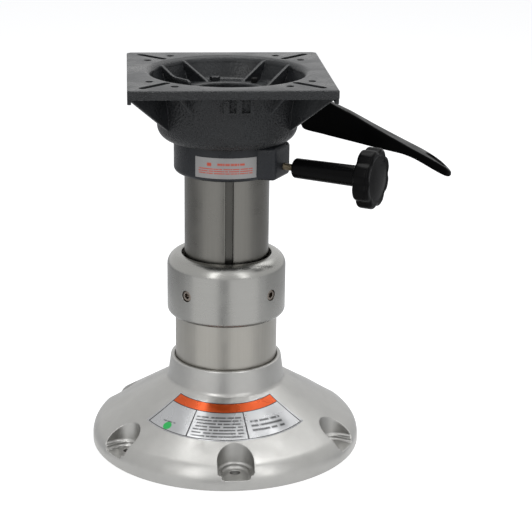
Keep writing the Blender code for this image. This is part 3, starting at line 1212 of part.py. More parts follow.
def build_lever(material):
    """Return the release lever: channel handle, thumb paddle and the arm to the valve pin."""
    lever = build_lever_shell()
    end = PIVOT_X + 4.0 * MM
    stations = (-6.0 * MM, -4.0 * MM, 0.0, HUB_WELL_RADIUS, 0.5 * (HUB_WELL_RADIUS + PIVOT_X), end)
    widths = (2.6 * MM, LEVER_ARM_HALF, LEVER_ARM_HALF, LEVER_ARM_HALF, LEVER_ARM_HALF, LEVER_ARM_HALF)
    rings = []
    for x, half in zip(stations, widths):
        low = arm_bottom_at(x)
        high = low + LEVER_ARM_THICKNESS
        rings.append([(x, half, high), (x, -half, high), (x, -half, low), (x, half, low)])
    apply_boolean(lever, new_object("arm", loft(rings)), "UNION")
    reach = 2.0 * LEVER_ROOT_HALF
    bore = cylinder_between("bore", (PIVOT_X, -reach, PIVOT_Z), (PIVOT_X, reach, PIVOT_Z), PIVOT_PIN_RADIUS + SLIDE_FIT)
    apply_boolean(lever, bore, "DIFFERENCE")
    apply_boolean(lever, build_thumb_panel(), "DIFFERENCE")
    lever.name = "release_lever"
    dress(lever, material)
    move_origin(lever, (PIVOT_X, 0.0, PIVOT_Z))
    return lever


def build_thumb_panel():
    """Return the cutter for the shallow oval on the paddle's top."""
    start = Vector((PIVOT_X + THUMB_PANEL_START, 0.0, PIVOT_Z - THUMB_PANEL_FALL))
    end = Vector((PIVOT_X + THUMB_PANEL_END, 0.0, PIVOT_Z - THUMB_PANEL_FALL - THUMB_PANEL_DIP))
    along = (end - start).normalized()
    normal = Vector((-along.z, 0.0, along.x))
    centre = 0.5 * (start + end)
    length = 0.5 * (end - start).length
    rings = []
    for lift in (-THUMB_PANEL_DEPTH, 4.0 * MM):
        ring = []
        for k in range(SMALL):
            angle = 2.0 * math.pi * k / SMALL
            point = centre + along * (length * math.cos(angle)) + normal * lift
            ring.append(point + Vector((0.0, 0.68 * LEVER_PADDLE_HALF * math.sin(angle), 0.0)))
        rings.append(ring)
    return new_object("thumb_panel", loft(rings))


def build_lever_pin(steel):
    """Return the lever's pivot pin and its clip."""
    head_end = -EAR_OUTER - TOUCH
    far_end = EAR_OUTER + TOUCH + CLIP_THICKNESS + 1.2 * MM
    pin = cylinder_between("lever_pin", (0.0, head_end - 0.05 * MM, 0.0), (0.0, far_end, 0.0), PIVOT_PIN_RADIUS)
    head = cylinder_between("pin_head", (0.0, head_end - PIN_HEAD, 0.0), (0.0, head_end, 0.0), PIN_HEAD_RADIUS)
    apply_boolean(pin, head, "UNION")
    dress(pin, steel)
    start = EAR_OUTER + TOUCH
    clip = cylinder_between("pin_clip", (0.0, start, 0.0), (0.0, start + CLIP_THICKNESS, 0.0), CLIP_RADIUS)
    bore = cylinder_between("clip_bore", (0.0, start - SPLIT, 0.0), (0.0, start + CLIP_THICKNESS + SPLIT, 0.0),
                            PIVOT_PIN_RADIUS + TOUCH)
    apply_boolean(clip, bore, "DIFFERENCE")
    dress(clip, steel)
    for piece in (pin, clip):
        piece.location = (PIVOT_X, 0.0, PIVOT_Z)
    return [pin, clip]


def place_on_lock_axis(obj, distance):
    """Stand an object made along Z on the lock's axis, its origin at a distance."""
    obj.location = polar(distance, LOCK_AZIMUTH, LOCK_Z)
    obj.rotation_euler = (0.0, math.radians(90.0), LOCK_AZIMUTH)


def build_brake_pad(material):
    """Return the pad that the stud presses against the post."""
    profile = [(0.0, 0.0), (BRAKE_PAD_RADIUS, 0.0), (BRAKE_PAD_RADIUS, BRAKE_PAD_LENGTH), (0.0, BRAKE_PAD_LENGTH)]
    pad = turned("brake_pad", profile, material, 16)
    place_on_lock_axis(pad, PAD_START)
    return pad


def knob_ring(radius, height):
    """Return one lobed ring of the knob."""
    points = []
    steps = 5 * KNOB_LOBES
    for k in range(steps):
        angle = 2.0 * math.pi * k / steps
        wave = 0.5 - 0.5 * math.cos(KNOB_LOBES * angle)
        reach = radius - KNOB_LOBE_DEPTH * (1.0 - wave) ** 2
        points.append(polar(reach, angle, height))
    return points


def build_lock_knob(material):
    """Return the lobed knob with its long sleeve, moulded as one piece."""
    base = KNOB_BACK - SLEEVE_START
    face = KNOB_FACE - SLEEVE_START
    edge = KNOB_EDGE_ROUND
    bore = STUD_RADIUS + TOUCH
    round_end = 2.2 * MM
    neck = SLEEVE_RADIUS + SLEEVE_FLARE
    steps = 5 * KNOB_LOBES
    angles = [2.0 * math.pi * k / steps for k in range(steps)]
    plain = [(bore, SLEEVE_BORE_DEPTH), (bore, 0.0), (SLEEVE_RADIUS - round_end, 0.0)]
    plain += [(SLEEVE_RADIUS - 0.3 * round_end, 0.3 * round_end), (SLEEVE_RADIUS, round_end)]
    plain += [(neck, base)]
    rings = [[polar(r, a, z) for a in angles] for r, z in plain]
    rings += [knob_ring(KNOB_RADIUS - edge, base), knob_ring(KNOB_RADIUS - 0.3 * edge, base + 0.3 * edge)]
    rings += [knob_ring(KNOB_RADIUS, base + edge), knob_ring(KNOB_RADIUS, face - edge)]
    rings += [knob_ring(KNOB_RADIUS - 0.3 * edge, face - 0.3 * edge), knob_ring(KNOB_RADIUS - edge, face)]
    rings += [[polar(0.5 * KNOB_RADIUS, a, face + 0.75 * KNOB_DOME) for a in angles]]
    rings += [[polar(0.12 * KNOB_RADIUS, a, face + KNOB_DOME) for a in angles]]
    knob = new_object("lock_knob", loft(rings), material, 30.0)
    place_on_lock_axis(knob, SLEEVE_START)
    return knob


def build_lock_stud(material):
    """Return the threaded stud that the knob turns."""
    length = SLEEVE_START + SLEEVE_BORE_DEPTH - TOUCH - STUD_START
    profile = [(0.0, 0.0), (STUD_RADIUS - 0.7 * MM, 0.0), (STUD_RADIUS, 0.7 * MM), (STUD_RADIUS, length), (0.0, length)]
    stud = turned("lock_stud", profile, material, SMALL)
    place_on_lock_axis(stud, STUD_START)
    return stud


def build_base_label(material):
    """Return the fan-shaped label laid on the base's cone."""
    columns = 16
    rows = (0.0, 0.15, 0.5, 1.0)
    slope = BASE_SLOPE
    sheets = []
    for lift in (LABEL_LIFT, LABEL_LIFT + LABEL_THICKNESS):
        sheet = []
        for share in rows:
            line = []
            for k in range(columns + 1):
                turn = -1.0 + 2.0 * k / columns
                near = BASE_LABEL_INNER - 3.3 * MM * turn * turn
                far = BASE_LABEL_OUTER - 5.0 * MM * turn * turn
                radius = near + (far - near) * share
                azimuth = BASE_LABEL_CENTRE + BASE_LABEL_HALF_ANGLE * turn * (0.977 + 0.141 * share)
                height = base_surface_height(radius) + lift / math.cos(slope)
                line.append(polar(radius, azimuth, height))
            sheet.append(line)
        sheets.append(sheet)
    return new_object("base_label", sheet_mesh(sheets), material, 60.0)


def sheet_mesh(sheets):
    """Return a bmesh of a thin sheet from the grids of its two faces."""
    builder = bmesh.new()
    grids = [[[builder.verts.new(point) for point in line] for line in sheet] for sheet in sheets]
    rows = len(grids[0])
    columns = len(grids[0][0])
    for i in range(rows - 1):
        for j in range(columns - 1):
            for number, grid in enumerate(grids):
                quad = (grid[i][j], grid[i][j + 1], grid[i + 1][j + 1], grid[i + 1][j])
                builder.faces.new(quad if number else quad[::-1])
    rim = [(0, j) for j in range(columns)] + [(i, columns - 1) for i in range(1, rows)]
    rim += [(rows - 1, j) for j in range(columns - 2, -1, -1)] + [(i, 0) for i in range(rows - 2, 0, -1)]
    for (i, j), (m, n) in zip(rim, rim[1:] + rim[:1]):
        builder.faces.new((grids[0][i][j], grids[0][m][n], grids[1][m][n], grids[1][i][j]))
    return builder


def build_hub_label(material):
    """Return the label laid round the front of the hub."""
    columns = 12
    low = HUB_BOTTOM + HUB_LABEL_LOW
    sheets = []
    for lift in (LABEL_LIFT, LABEL_LIFT + LABEL_THICKNESS):
        radius = HUB_RADIUS + lift
        sheet = []
        for height in (low, low + HUB_LABEL_HEIGHT):
            angles = [HUB_LABEL_CENTRE + HUB_LABEL_HALF_ANGLE * (-1.0 + 2.0 * k / columns) for k in range(columns + 1)]
            sheet.append([polar(radius, angle, height) for angle in angles])
        sheets.append(sheet)
    return new_object("hub_label", sheet_mesh(sheets), material, 60.0)


def main():
    """Build every piece of the pedestal."""
    clear_scene()
    cast_silver = make_material("cast_silver", (0.40, 0.40, 0.385), 0.85, 0.42)
    tube_silver = make_material("tube_silver", (0.38, 0.37, 0.34), 0.9, 0.35)
    cast_grey = make_material("cast_grey", (0.055, 0.058, 0.06), 0.35, 0.45)
    black_plastic = make_material("black_plastic", (0.012, 0.012, 0.013), 0.0, 0.4)
    nylon = make_material("nylon", (0.72, 0.70, 0.64), 0.0, 0.5)
    steel = make_material("zinc_steel", (0.55, 0.54, 0.50), 0.95, 0.32)
    brass = make_material("yellow_zinc", (0.48, 0.38, 0.20), 0.95, 0.35)
    dark_steel = make_material("dark_steel", (0.03, 0.03, 0.032), 0.6, 0.4)
    rubber = make_material("rubber", (0.012, 0.012, 0.012), 0.0, 0.7)
    foil = make_material("foil", (0.58, 0.58, 0.57), 0.5, 0.35)
    build_base_casting(cast_silver)
    build_outer_tube(tube_silver)
    build_guide_collar(cast_silver)
    build_set_screws(steel)
    build_upper_bush(nylon)
    build_inner_tube(tube_silver)
    build_lower_bush(nylon)
    build_gas_spring(steel, dark_steel)
    build_post_head(cast_silver)
    build_swivel_rings(nylon, steel)
    build_swivel_hub(cast_grey)
    build_seat_mount(cast_grey)
    build_floor_fasteners(steel, rubber)
    build_lever(black_plastic)
    build_lever_pin(steel)
    build_brake_pad(nylon)
    build_lock_stud(brass)
    build_lock_knob(black_plastic)
    build_base_label(foil)
    build_hub_label(foil)


main()
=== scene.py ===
"""Looks of the boat seat pedestal: finer meshes on the CAD frame, finishes, studio and camera.

Metres, +Z up. The origin is on the column's axis at deck level, the lever points along +X and
the labels face -Y. Each sub-assembly is a class that builds its meshes and dresses them, and
each finish is a frozen value that makes its own material.
"""
import json
import logging
import math
from dataclasses import dataclass, field
from enum import Enum
from functools import reduce
from typing import Callable, Iterable, Optional, Sequence, Union

import bmesh
import bpy
from mathutils import Matrix, Vector


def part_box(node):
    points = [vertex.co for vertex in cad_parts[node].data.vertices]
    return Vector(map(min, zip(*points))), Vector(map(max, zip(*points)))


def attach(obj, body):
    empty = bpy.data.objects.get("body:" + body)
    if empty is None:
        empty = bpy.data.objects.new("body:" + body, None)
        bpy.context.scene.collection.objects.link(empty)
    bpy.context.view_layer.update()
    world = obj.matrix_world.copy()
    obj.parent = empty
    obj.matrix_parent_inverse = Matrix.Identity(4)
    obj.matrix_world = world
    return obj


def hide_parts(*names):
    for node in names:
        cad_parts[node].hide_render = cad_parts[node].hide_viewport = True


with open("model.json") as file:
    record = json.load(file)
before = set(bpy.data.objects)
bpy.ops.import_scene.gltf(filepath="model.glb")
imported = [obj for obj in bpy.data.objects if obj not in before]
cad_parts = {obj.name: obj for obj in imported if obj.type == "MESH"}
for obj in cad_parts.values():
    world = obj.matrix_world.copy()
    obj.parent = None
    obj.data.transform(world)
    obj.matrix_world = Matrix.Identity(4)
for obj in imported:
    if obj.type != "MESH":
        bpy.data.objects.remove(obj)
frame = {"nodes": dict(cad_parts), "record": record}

LOG = logging.getLogger("pedestal")
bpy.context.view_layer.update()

MM = 0.001
TOUCH = 0.3 * MM
PAST = 1.0 * MM  # How far a cutter reaches past the surface that it opens.
FINE = 192
SMALL = 64
TINY = 32
QUARTER = math.pi / 2.0
BEVEL_SAMPLES = 6
CURVE_PULL = 0.35
MAP_SPAN = 100.0

Point = tuple[float, float]
Colour = tuple[float, float, float]
Piece = bpy.types.Object
Node = bpy.types.Node
Socket = bpy.types.NodeSocket
Value = Union[float, Socket]
Given = Union[float, Socket, Sequence[float]]
Inputs = dict[Union[str, int], Given]
Box = tuple[float, float, float, float]


def top_of(node: str) -> float:
    """Return the height of a CAD node's top."""
    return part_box(node)[1].z


def foot_of(node: str) -> float:
    """Return the height of a CAD node's underside."""
    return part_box(node)[0].z


def reach_of(node: str) -> float:
    """Return how far a CAD node reaches along +X."""
    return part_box(node)[1].x


def body_of_node(node: str) -> str:
    """Return the body that the record gives a CAD node to."""
    bodies = frame["record"]["behaviour"]["bodies"]
    return next(name for name, nodes in bodies.items() if node in nodes)


def polar(radius: float, angle: float, height: float = 0.0) -> Vector:
    """Return a point from its distance to the axis, its azimuth and its height."""
    return Vector((radius * math.cos(angle), radius * math.sin(angle), height))


def full_turn(count: int, phase: float = 0.0) -> list[float]:
    """Return evenly spread azimuths over a full turn."""
    return [phase + 2.0 * math.pi * k / count for k in range(count)]


def arc(centre_r: float, centre_z: float, radius: float, start: float, end: float,
        steps: int) -> list[Point]:
    """Return profile points along an arc.

    Args:
        centre_r: the centre's distance from the axis.
        centre_z: the centre's height.
        radius: the arc's radius.
        start: first angle in degrees, from +r towards +z.
        end: last angle in degrees.
        steps: how many chords the arc has.

    Returns:
        The (radius, height) points, both ends included.
    """
    points = []
    for k in range(steps + 1):
        angle = math.radians(start + (end - start) * k / steps)
        points.append((centre_r + radius * math.cos(angle), centre_z + radius * math.sin(angle)))
    return points


def swung(points: Iterable[Point], azimuth: float) -> list[Point]:
    """Return flat points, given along and across an azimuth, in X and Y."""
    c, s = math.cos(azimuth), math.sin(azimuth)
    return [(along * c - across * s, along * s + across * c) for along, across in points]


def oblong(x0: float, x1: float, y0: float, y1: float) -> list[Point]:
    """Return the corners of a rectangle along X and Y."""
    return [(x0, y0), (x1, y0), (x1, y1), (x0, y1)]


def finish_shading(mesh: bpy.types.Mesh, sharp_degrees: float = 35.0) -> None:
    """Shade a mesh smooth, with sharp edges past the given angle."""
    mesh.shade_smooth()
    mesh.set_sharp_from_angle(angle=math.radians(sharp_degrees))


def new_piece(name: str, builder: bmesh.types.BMesh, sharp_degrees: float = 35.0) -> Piece:
    """Turn a bmesh into a linked object with outward faces.

    Args:
        name: the object's name.
        builder: the bmesh, which is freed.
        sharp_degrees: the angle past which an edge stays sharp.

    Returns:
        The new object.
    """
    bmesh.ops.recalc_face_normals(builder, faces=builder.faces)
    mesh = bpy.data.meshes.new(name)
    builder.to_mesh(mesh)
    builder.free()
    piece = bpy.data.objects.new(name, mesh)
    bpy.context.collection.objects.link(piece)
    finish_shading(mesh, sharp_degrees)
    return piece


def loft(rings: Sequence[Sequence[Sequence[float]]], closed: bool = False) -> bmesh.types.BMesh:
    """Skin rings of equally many points.

    Args:
        rings: the rings, each a loop of points.
        closed: whether the last ring joins the first; otherwise both ends get caps.

    Returns:
        A bmesh of the closed skin.
    """
    builder = bmesh.new()
    loops = [[builder.verts.new(point) for point in ring] for ring in rings]
    count = len(rings[0])
    spans = len(loops) if closed else len(loops) - 1
    for k in range(spans):
        lower = loops[k]
        upper = loops[(k + 1) % len(loops)]
        for i in range(count):
            j = (i + 1) % count
            builder.faces.new((lower[i], lower[j], upper[j], upper[i]))
    if not closed:
        builder.faces.new(list(reversed(loops[0])))
        builder.faces.new(loops[-1])
    return builder


def turned(name: str, profile: Sequence[Point], facets: int = FINE) -> Piece:
    """Turn a closed (radius, height) profile about Z.

    Args:
        name: the object's name.
        profile: the profile's points in order.
        facets: how many facets a full turn has.

    Returns:
        The turned object.
    """
    rings = [[polar(radius, angle, height) for angle in full_turn(facets)] for radius, height in profile]
    builder = loft(rings, closed=True)
    bmesh.ops.remove_doubles(builder, verts=builder.verts, dist=1e-7)
    on_axis = [edge for edge in builder.edges if not edge.link_faces]
    bmesh.ops.delete(builder, geom=on_axis, context="EDGES")
    return new_piece(name, builder)


def prism(name: str, outline: Sequence[Point], low: float, high: float) -> Piece:
    """Return an object with a flat outline in XY, from one height to another."""
    return new_piece(name, loft([[(x, y, low) for x, y in outline], [(x, y, high) for x, y in outline]]))


def upright_slab(name: str, outline: Sequence[Point], thickness: float, direction: float,
                 offset: float) -> Piece:
    """Stand a slab in a vertical plane.

    Args:
        name: the object's name.
        outline: (along, height) points of its face.
        thickness: its thickness.
        direction: the azimuth along which the plane runs.
        offset: how far to the left of that azimuth the slab is centred.

    Returns:
        The slab.
    """
    along = polar(1.0, direction)
    across = polar(1.0, direction + QUARTER)
    rings = []
    for side in (-0.5, 0.5):
        shift = across * (offset + side * thickness)
        rings.append([along * s + shift + Vector((0.0, 0.0, z)) for s, z in outline])
    return new_piece(name, loft(rings))


def rod(name: str, start: Sequence[float], end: Sequence[float], radius: float, facets: int = SMALL,
        phase: float = 0.0) -> Piece:
    """Return a rod or a prism with regular sides from one point to another.

    Args:
        name: the object's name.
        start: the middle of its first face.
        end: the middle of its last face.
        radius: the distance of its corners from its axis.
        facets: how many sides it has.
        phase: the angle of its first corner.

    Returns:
        The rod.
    """
    start = Vector(start)
    end = Vector(end)
    turn = (end - start).to_track_quat("Z", "Y").to_matrix()
    rings = []
    for point in (start, end):
        rings.append([point + turn @ polar(radius, angle) for angle in full_turn(facets, phase)])
    return new_piece(name, loft(rings))


def merged(name: str, pieces: Iterable[Piece]) -> Piece:
    """Join pieces into one mesh object.

    Args:
        name: the new object's name.
        pieces: the pieces, which are dropped.

    Returns:
        The object, which holds them as separate bodies.
    """
    builder = bmesh.new()
    for piece in pieces:
        builder.from_mesh(piece.data)
        bpy.data.objects.remove(piece, do_unlink=True)
    return new_piece(name, builder)


def settle(piece: Piece) -> None:
    """Bake a piece's modifiers into its mesh."""
    graph = bpy.context.evaluated_depsgraph_get()
    mesh = bpy.data.meshes.new_from_object(piece.evaluated_get(graph))
    piece.modifiers.clear()
    piece.data = mesh
    finish_shading(mesh)


def carve(target: Piece, tool: Piece, operation: str = "DIFFERENCE") -> None:
    """Cut a tool from a target, or unite them, and drop the tool.

    Args:
        target: the piece that changes.
        tool: the piece that is cut away or added.
        operation: DIFFERENCE, UNION or INTERSECT.
    """
    modifier = target.modifiers.new("carve", "BOOLEAN")
    modifier.object = tool
    modifier.operation = operation
    modifier.solver = "EXACT"
    settle(target)
    bpy.data.objects.remove(tool, do_unlink=True)


def carve_all(target: Piece, tools: Iterable[Piece], operation: str = "DIFFERENCE") -> None:
    """Cut several tools from a target at once, or unite them with it."""
    carve(target, merged("tools", tools), operation)


def drill(target: Piece, start: Sequence[float], end: Sequence[float], radius: float) -> None:
    """Cut a round hole from one point to another."""
    carve(target, rod("hole", start, end, radius))


def soften(piece: Piece, width: float, segments: int = 3, degrees: float = 30.0) -> Piece:
    """Round a piece's sharp edges.

    Args:
        piece: the piece that changes.
        width: how far the round reaches from the edge.
        segments: how many chords the round has.
        degrees: the angle past which an edge is sharp.

    Returns:
        The piece.
    """
    modifier = piece.modifiers.new("soften", "BEVEL")
    modifier.width = width
    modifier.segments = segments
    modifier.limit_method = "ANGLE"
    modifier.angle_limit = math.radians(degrees)
    modifier.harden_normals = False
    settle(piece)
    return piece


def stand_on_lock_axis(piece: Piece, distance: float, azimuth: float, height: float) -> None:
    """Lay a piece made along Z on a level axis at an azimuth, and keep the place in its mesh.

    Args:
        piece: the piece, made from z = 0 upwards.
        distance: where its foot lies along the axis.
        azimuth: the axis's azimuth.
        height: the axis's height.
    """
    turn = Matrix.Rotation(azimuth, 4, "Z") @ Matrix.Rotation(QUARTER, 4, "Y")
    piece.data.transform(Matrix.Translation(polar(distance, azimuth, height)) @ turn)


def hexagon(flats: float) -> float:
    """Return the corner radius of a hexagon from its width across flats."""
    return flats / math.sqrt(3.0)


class NodeSheet:
    """The nodes of one material or effect, added and wired in short calls."""

    def __init__(self, tree: bpy.types.NodeTree) -> None:
        """Start on an empty node tree."""
        self.tree = tree
        self.tree.nodes.clear()

    def feed(self, socket: Socket, value: Given) -> None:
        """Link an input to an output, or set its own value.

        Args:
            socket: the input.
            value: the output to link it to, or a number, a vector or a colour.
        """
        if isinstance(value, bpy.types.NodeSocket):
            self.tree.links.new(value, socket)
        elif socket.type == "RGBA":
            socket.default_value = (*value, 1.0)
        else:
            socket.default_value = value

    def add(self, kind: str, inputs: Optional[Inputs] = None, **settings: object) -> Node:
        """Add a node.

        Args:
            kind: the node's kind.
            inputs: what to feed to its inputs, by name or number; the others stay as they are.
            settings: its own settings.

        Returns:
            The node.
        """
        node = self.tree.nodes.new(kind)
        for name, value in settings.items():
            setattr(node, name, value)
        for name, value in (inputs or {}).items():
            self.feed(node.inputs[name], value)
        return node

    def math(self, operation: str, *values: Value) -> Socket:
        """Return the result of a Math node."""
        return self.add("ShaderNodeMath", dict(enumerate(values)), operation=operation).outputs[0]

    def product(self, *factors: Value) -> Socket:
        """Return the product of several values."""
        return reduce(lambda first, second: self.math("MULTIPLY", first, second), factors)

    def union(self, *masks: Socket) -> Socket:
        """Return the strongest of several masks."""
        return reduce(lambda first, second: self.math("MAXIMUM", first, second), masks)

    def diagonal(self, first: Socket, second: Socket) -> Socket:
        """Return the length of the diagonal over two legs."""
        return self.math("SQRT", self.math("ADD", self.product(first, first), self.product(second, second)))

    def vector(self, operation: str, *values: Given) -> Node:
        """Add a Vector Math node."""
        return self.add("ShaderNodeVectorMath", dict(enumerate(values)), operation=operation)

    def scaled(self, vector: Socket, factor: Value) -> Socket:
        """Return a vector made longer by a factor."""
        return self.add("ShaderNodeVectorMath", {0: vector, "Scale": factor}, operation="SCALE").outputs[0]

    def split(self, vector: Socket) -> tuple[Socket, ...]:
        """Return a vector's three components."""
        return tuple(self.add("ShaderNodeSeparateXYZ", {0: vector}).outputs)

    def joined(self, *components: Value) -> Socket:
        """Return a vector from its components."""
        return self.add("ShaderNodeCombineXYZ", dict(enumerate(components))).outputs[0]

    def place(self) -> Socket:
        """Return the object's own coordinates in millimetres."""
        return self.scaled(self.add("ShaderNodeTexCoord").outputs["Object"], 1.0 / MM)

    def ramp(self, value: Socket, start: float, end: float, low: float = 0.0, high: float = 1.0) -> Socket:
        """Return a value mapped from one span to another and held at its ends."""
        inputs = {"Value": value, "From Min": start, "From Max": end, "To Min": low, "To Max": high}
        return self.add("ShaderNodeMapRange", inputs).outputs["Result"]

    def between(self, value: Socket, low: float, high: float, soft: float) -> Socket:
        """Return a mask of the values between two limits, with soft edges."""
        rise, fall = self.ramp(value, low - soft, low + soft), self.ramp(value, high + soft, high - soft)
        return self.product(rise, fall)

    def inside(self, across: Socket, up: Socket, box: Box, soft: float) -> Socket:
        """Return a mask of a box, given by its first and last place across, then up."""
        return self.product(self.between(across, *box[:2], soft), self.between(up, *box[2:], soft))

    def centred(self, value: Socket, contrast: Socket) -> Socket:
        """Return a value stretched about its middle by a contrast."""
        return self.math("MULTIPLY_ADD", self.math("SUBTRACT", value, 0.5), contrast, 0.5)

    def mix(self, factor: Value, first: Given, second: Given) -> Socket:
        """Return two colours mixed by a factor."""
        return self.add("ShaderNodeMix", {0: factor, 6: first, 7: second}, data_type="RGBA").outputs[2]

    def noise(self, vector: Socket, scale: Value, detail: float = 2.0, roughness: float = 0.5,
              distortion: float = 0.0) -> Socket:
        """Return a noise value over a vector."""
        inputs = {"Vector": vector, "Scale": scale, "Detail": detail, "Roughness": roughness}
        return self.add("ShaderNodeTexNoise", {**inputs, "Distortion": distortion}).outputs["Fac"]

    def cells(self, vector: Socket, scale: Value, feature: str, **inputs: float) -> Socket:
        """Return the distance to the middles of scattered cells."""
        place = {"Vector": vector, "Scale": scale}
        return self.add("ShaderNodeTexVoronoi", {**place, **inputs}, feature=feature).outputs["Distance"]

    def bump(self, height: Socket, distance: float, normal: Socket) -> Socket:
        """Return a normal bent by a height."""
        inputs = {"Distance": distance, "Height": height, "Normal": normal}
        return self.add("ShaderNodeBump", inputs).outputs[0]


def new_material(name: str) -> tuple[bpy.types.Material, NodeSheet]:
    """Return a new material and its empty sheet of nodes."""
    material = bpy.data.materials.new(name)
    material.use_nodes = True
    return material, NodeSheet(material.node_tree)


class Effect(Enum):
    """The effects that several finishes share."""

    GRAIN = "cast grain"
    HAMMER = "hammered paint"
    DRAWN = "drawn lines"
    TURNED = "turned lines"
    MOULDED = "moulded grain"
    WEAR = "edge wear"
    SMUDGE = "smudges"


Marks = tuple[Socket, Socket]
Maker = Callable[[NodeSheet, Socket, Socket], Marks]


class EffectShelf:
    """Builds each shared effect once, as a node group with named inputs and outputs.

    An effect's maker gets the group's nodes, the size of its marks in millimetres and their
    contrast, and gives back their height and their tone.
    """

    def __init__(self) -> None:
        """Start with no effect built."""
        self.groups: dict[Effect, bpy.types.NodeTree] = {}
        self.makers: dict[Effect, Maker] = {
            Effect.GRAIN: self.cast_grain, Effect.HAMMER: self.hammered, Effect.DRAWN: self.drawn_lines,
            Effect.TURNED: self.turned_lines, Effect.MOULDED: self.moulded_grain,
            Effect.WEAR: self.edge_wear, Effect.SMUDGE: self.smudges,
        }

    def group(self, effect: Effect) -> bpy.types.NodeTree:
        """Return an effect's node group, built at its first use.

        Args:
            effect: the effect.

        Returns:
            Its group, with a Size and a Contrast input and a Height and a Tone output.
        """
        if effect not in self.groups:
            tree = bpy.data.node_groups.new(effect.value, "ShaderNodeTree")
            for way, names in (("INPUT", ("Size", "Contrast")), ("OUTPUT", ("Height", "Tone"))):
                for name in names:
                    tree.interface.new_socket(name, in_out=way, socket_type="NodeSocketFloat")
            sheet = NodeSheet(tree)
            given = sheet.add("NodeGroupInput").outputs
            height, tone = self.makers[effect](sheet, given["Size"], given["Contrast"])
            sheet.add("NodeGroupOutput", {"Height": height, "Tone": tone})
            self.groups[effect] = tree
        return self.groups[effect]

    def cast_grain(self, sheet: NodeSheet, size: Socket, contrast: Socket) -> Marks:
        """Lay the fine even grain of a die casting, with a slower unevenness under it."""
        place, scale = sheet.place(), sheet.math("DIVIDE", 1.0, size)
        fine = sheet.noise(place, scale, 4.0, 0.65)
        slow = sheet.noise(place, sheet.product(scale, 0.09))
        tone = sheet.math("MULTIPLY_ADD", fine, 0.45, sheet.product(slow, 0.55))
        return sheet.math("MULTIPLY_ADD", slow, 2.2, fine), sheet.centred(tone, contrast)

    def hammered(self, sheet: NodeSheet, size: Socket, contrast: Socket) -> Marks:
        """Lay the small round dimples of a hammered paint."""
        place, scale = sheet.place(), sheet.math("DIVIDE", 1.0, size)
        dimples = sheet.cells(place, scale, "SMOOTH_F1", Smoothness=0.7)
        fine = sheet.noise(place, sheet.product(scale, 1.7), 3.0)
        height = sheet.math("MULTIPLY_ADD", dimples, -1.1, sheet.product(fine, 0.8))
        return height, sheet.centred(fine, contrast)

    def drawn_lines(self, sheet: NodeSheet, size: Socket, contrast: Socket) -> Marks:
        """Lay the fine lines that drawing leaves along a tube, with a few broad ones."""
        lines = []
        for along, across, detail, roughness in ((0.012, 1.0, 3.0, 0.6), (0.004, 0.17, 2.0, 0.5)):
            stretched = sheet.vector("MULTIPLY", sheet.place(), (across, across, along)).outputs[0]
            sized = sheet.scaled(stretched, sheet.math("DIVIDE", 1.0, size))
            lines.append(sheet.noise(sized, 1.0, detail, roughness))
        fine, broad = lines
        tone = sheet.math("MULTIPLY_ADD", fine, 0.55, sheet.product(broad, 0.45))
        return fine, sheet.centred(tone, contrast)

    def turned_lines(self, sheet: NodeSheet, size: Socket, contrast: Socket) -> Marks:
        """Lay the fine lines that a lathe leaves round a turned face."""
        x, y, z = sheet.split(sheet.place())
        scale = sheet.math("DIVIDE", 1.0, size)
        radius = sheet.product(sheet.diagonal(x, y), scale)
        rolled = sheet.joined(radius, sheet.product(z, scale), sheet.product(x, 0.02))
        fine = sheet.noise(rolled, 1.0, 3.0, 0.6)
        return fine, sheet.centred(fine, contrast)

    def moulded_grain(self, sheet: NodeSheet, size: Socket, contrast: Socket) -> Marks:
        """Lay the fine leathery grain of a moulding."""
        place, scale = sheet.place(), sheet.math("DIVIDE", 1.0, size)
        slow = sheet.noise(place, sheet.product(scale, 0.06), 3.0)
        return sheet.cells(place, scale, "F1"), sheet.centred(slow, contrast)

    def edge_wear(self, sheet: NodeSheet, size: Socket, contrast: Socket) -> Marks:
        """Find the edges where a rounded normal leaves the true one, broken up by noise."""
        rounded = sheet.add("ShaderNodeBevel", {"Radius": sheet.product(size, MM)}, samples=BEVEL_SAMPLES)
        true = sheet.add("ShaderNodeNewGeometry").outputs["True Normal"]
        likeness = sheet.vector("DOT_PRODUCT", rounded.outputs[0], true).outputs["Value"]
        edge = sheet.ramp(likeness, 0.995, 0.86)
        broken = sheet.ramp(sheet.noise(sheet.place(), 0.5, 4.0, 0.7), 0.35, 0.62)
        return edge, sheet.product(edge, broken, contrast)

    def smudges(self, sheet: NodeSheet, size: Socket, contrast: Socket) -> Marks:
        """Lay the slow patches of a handled surface."""
        patches = sheet.noise(sheet.place(), sheet.math("DIVIDE", 1.0, size), 5.0, distortion=0.6)
        return patches, sheet.centred(patches, contrast)


SHELF = EffectShelf()


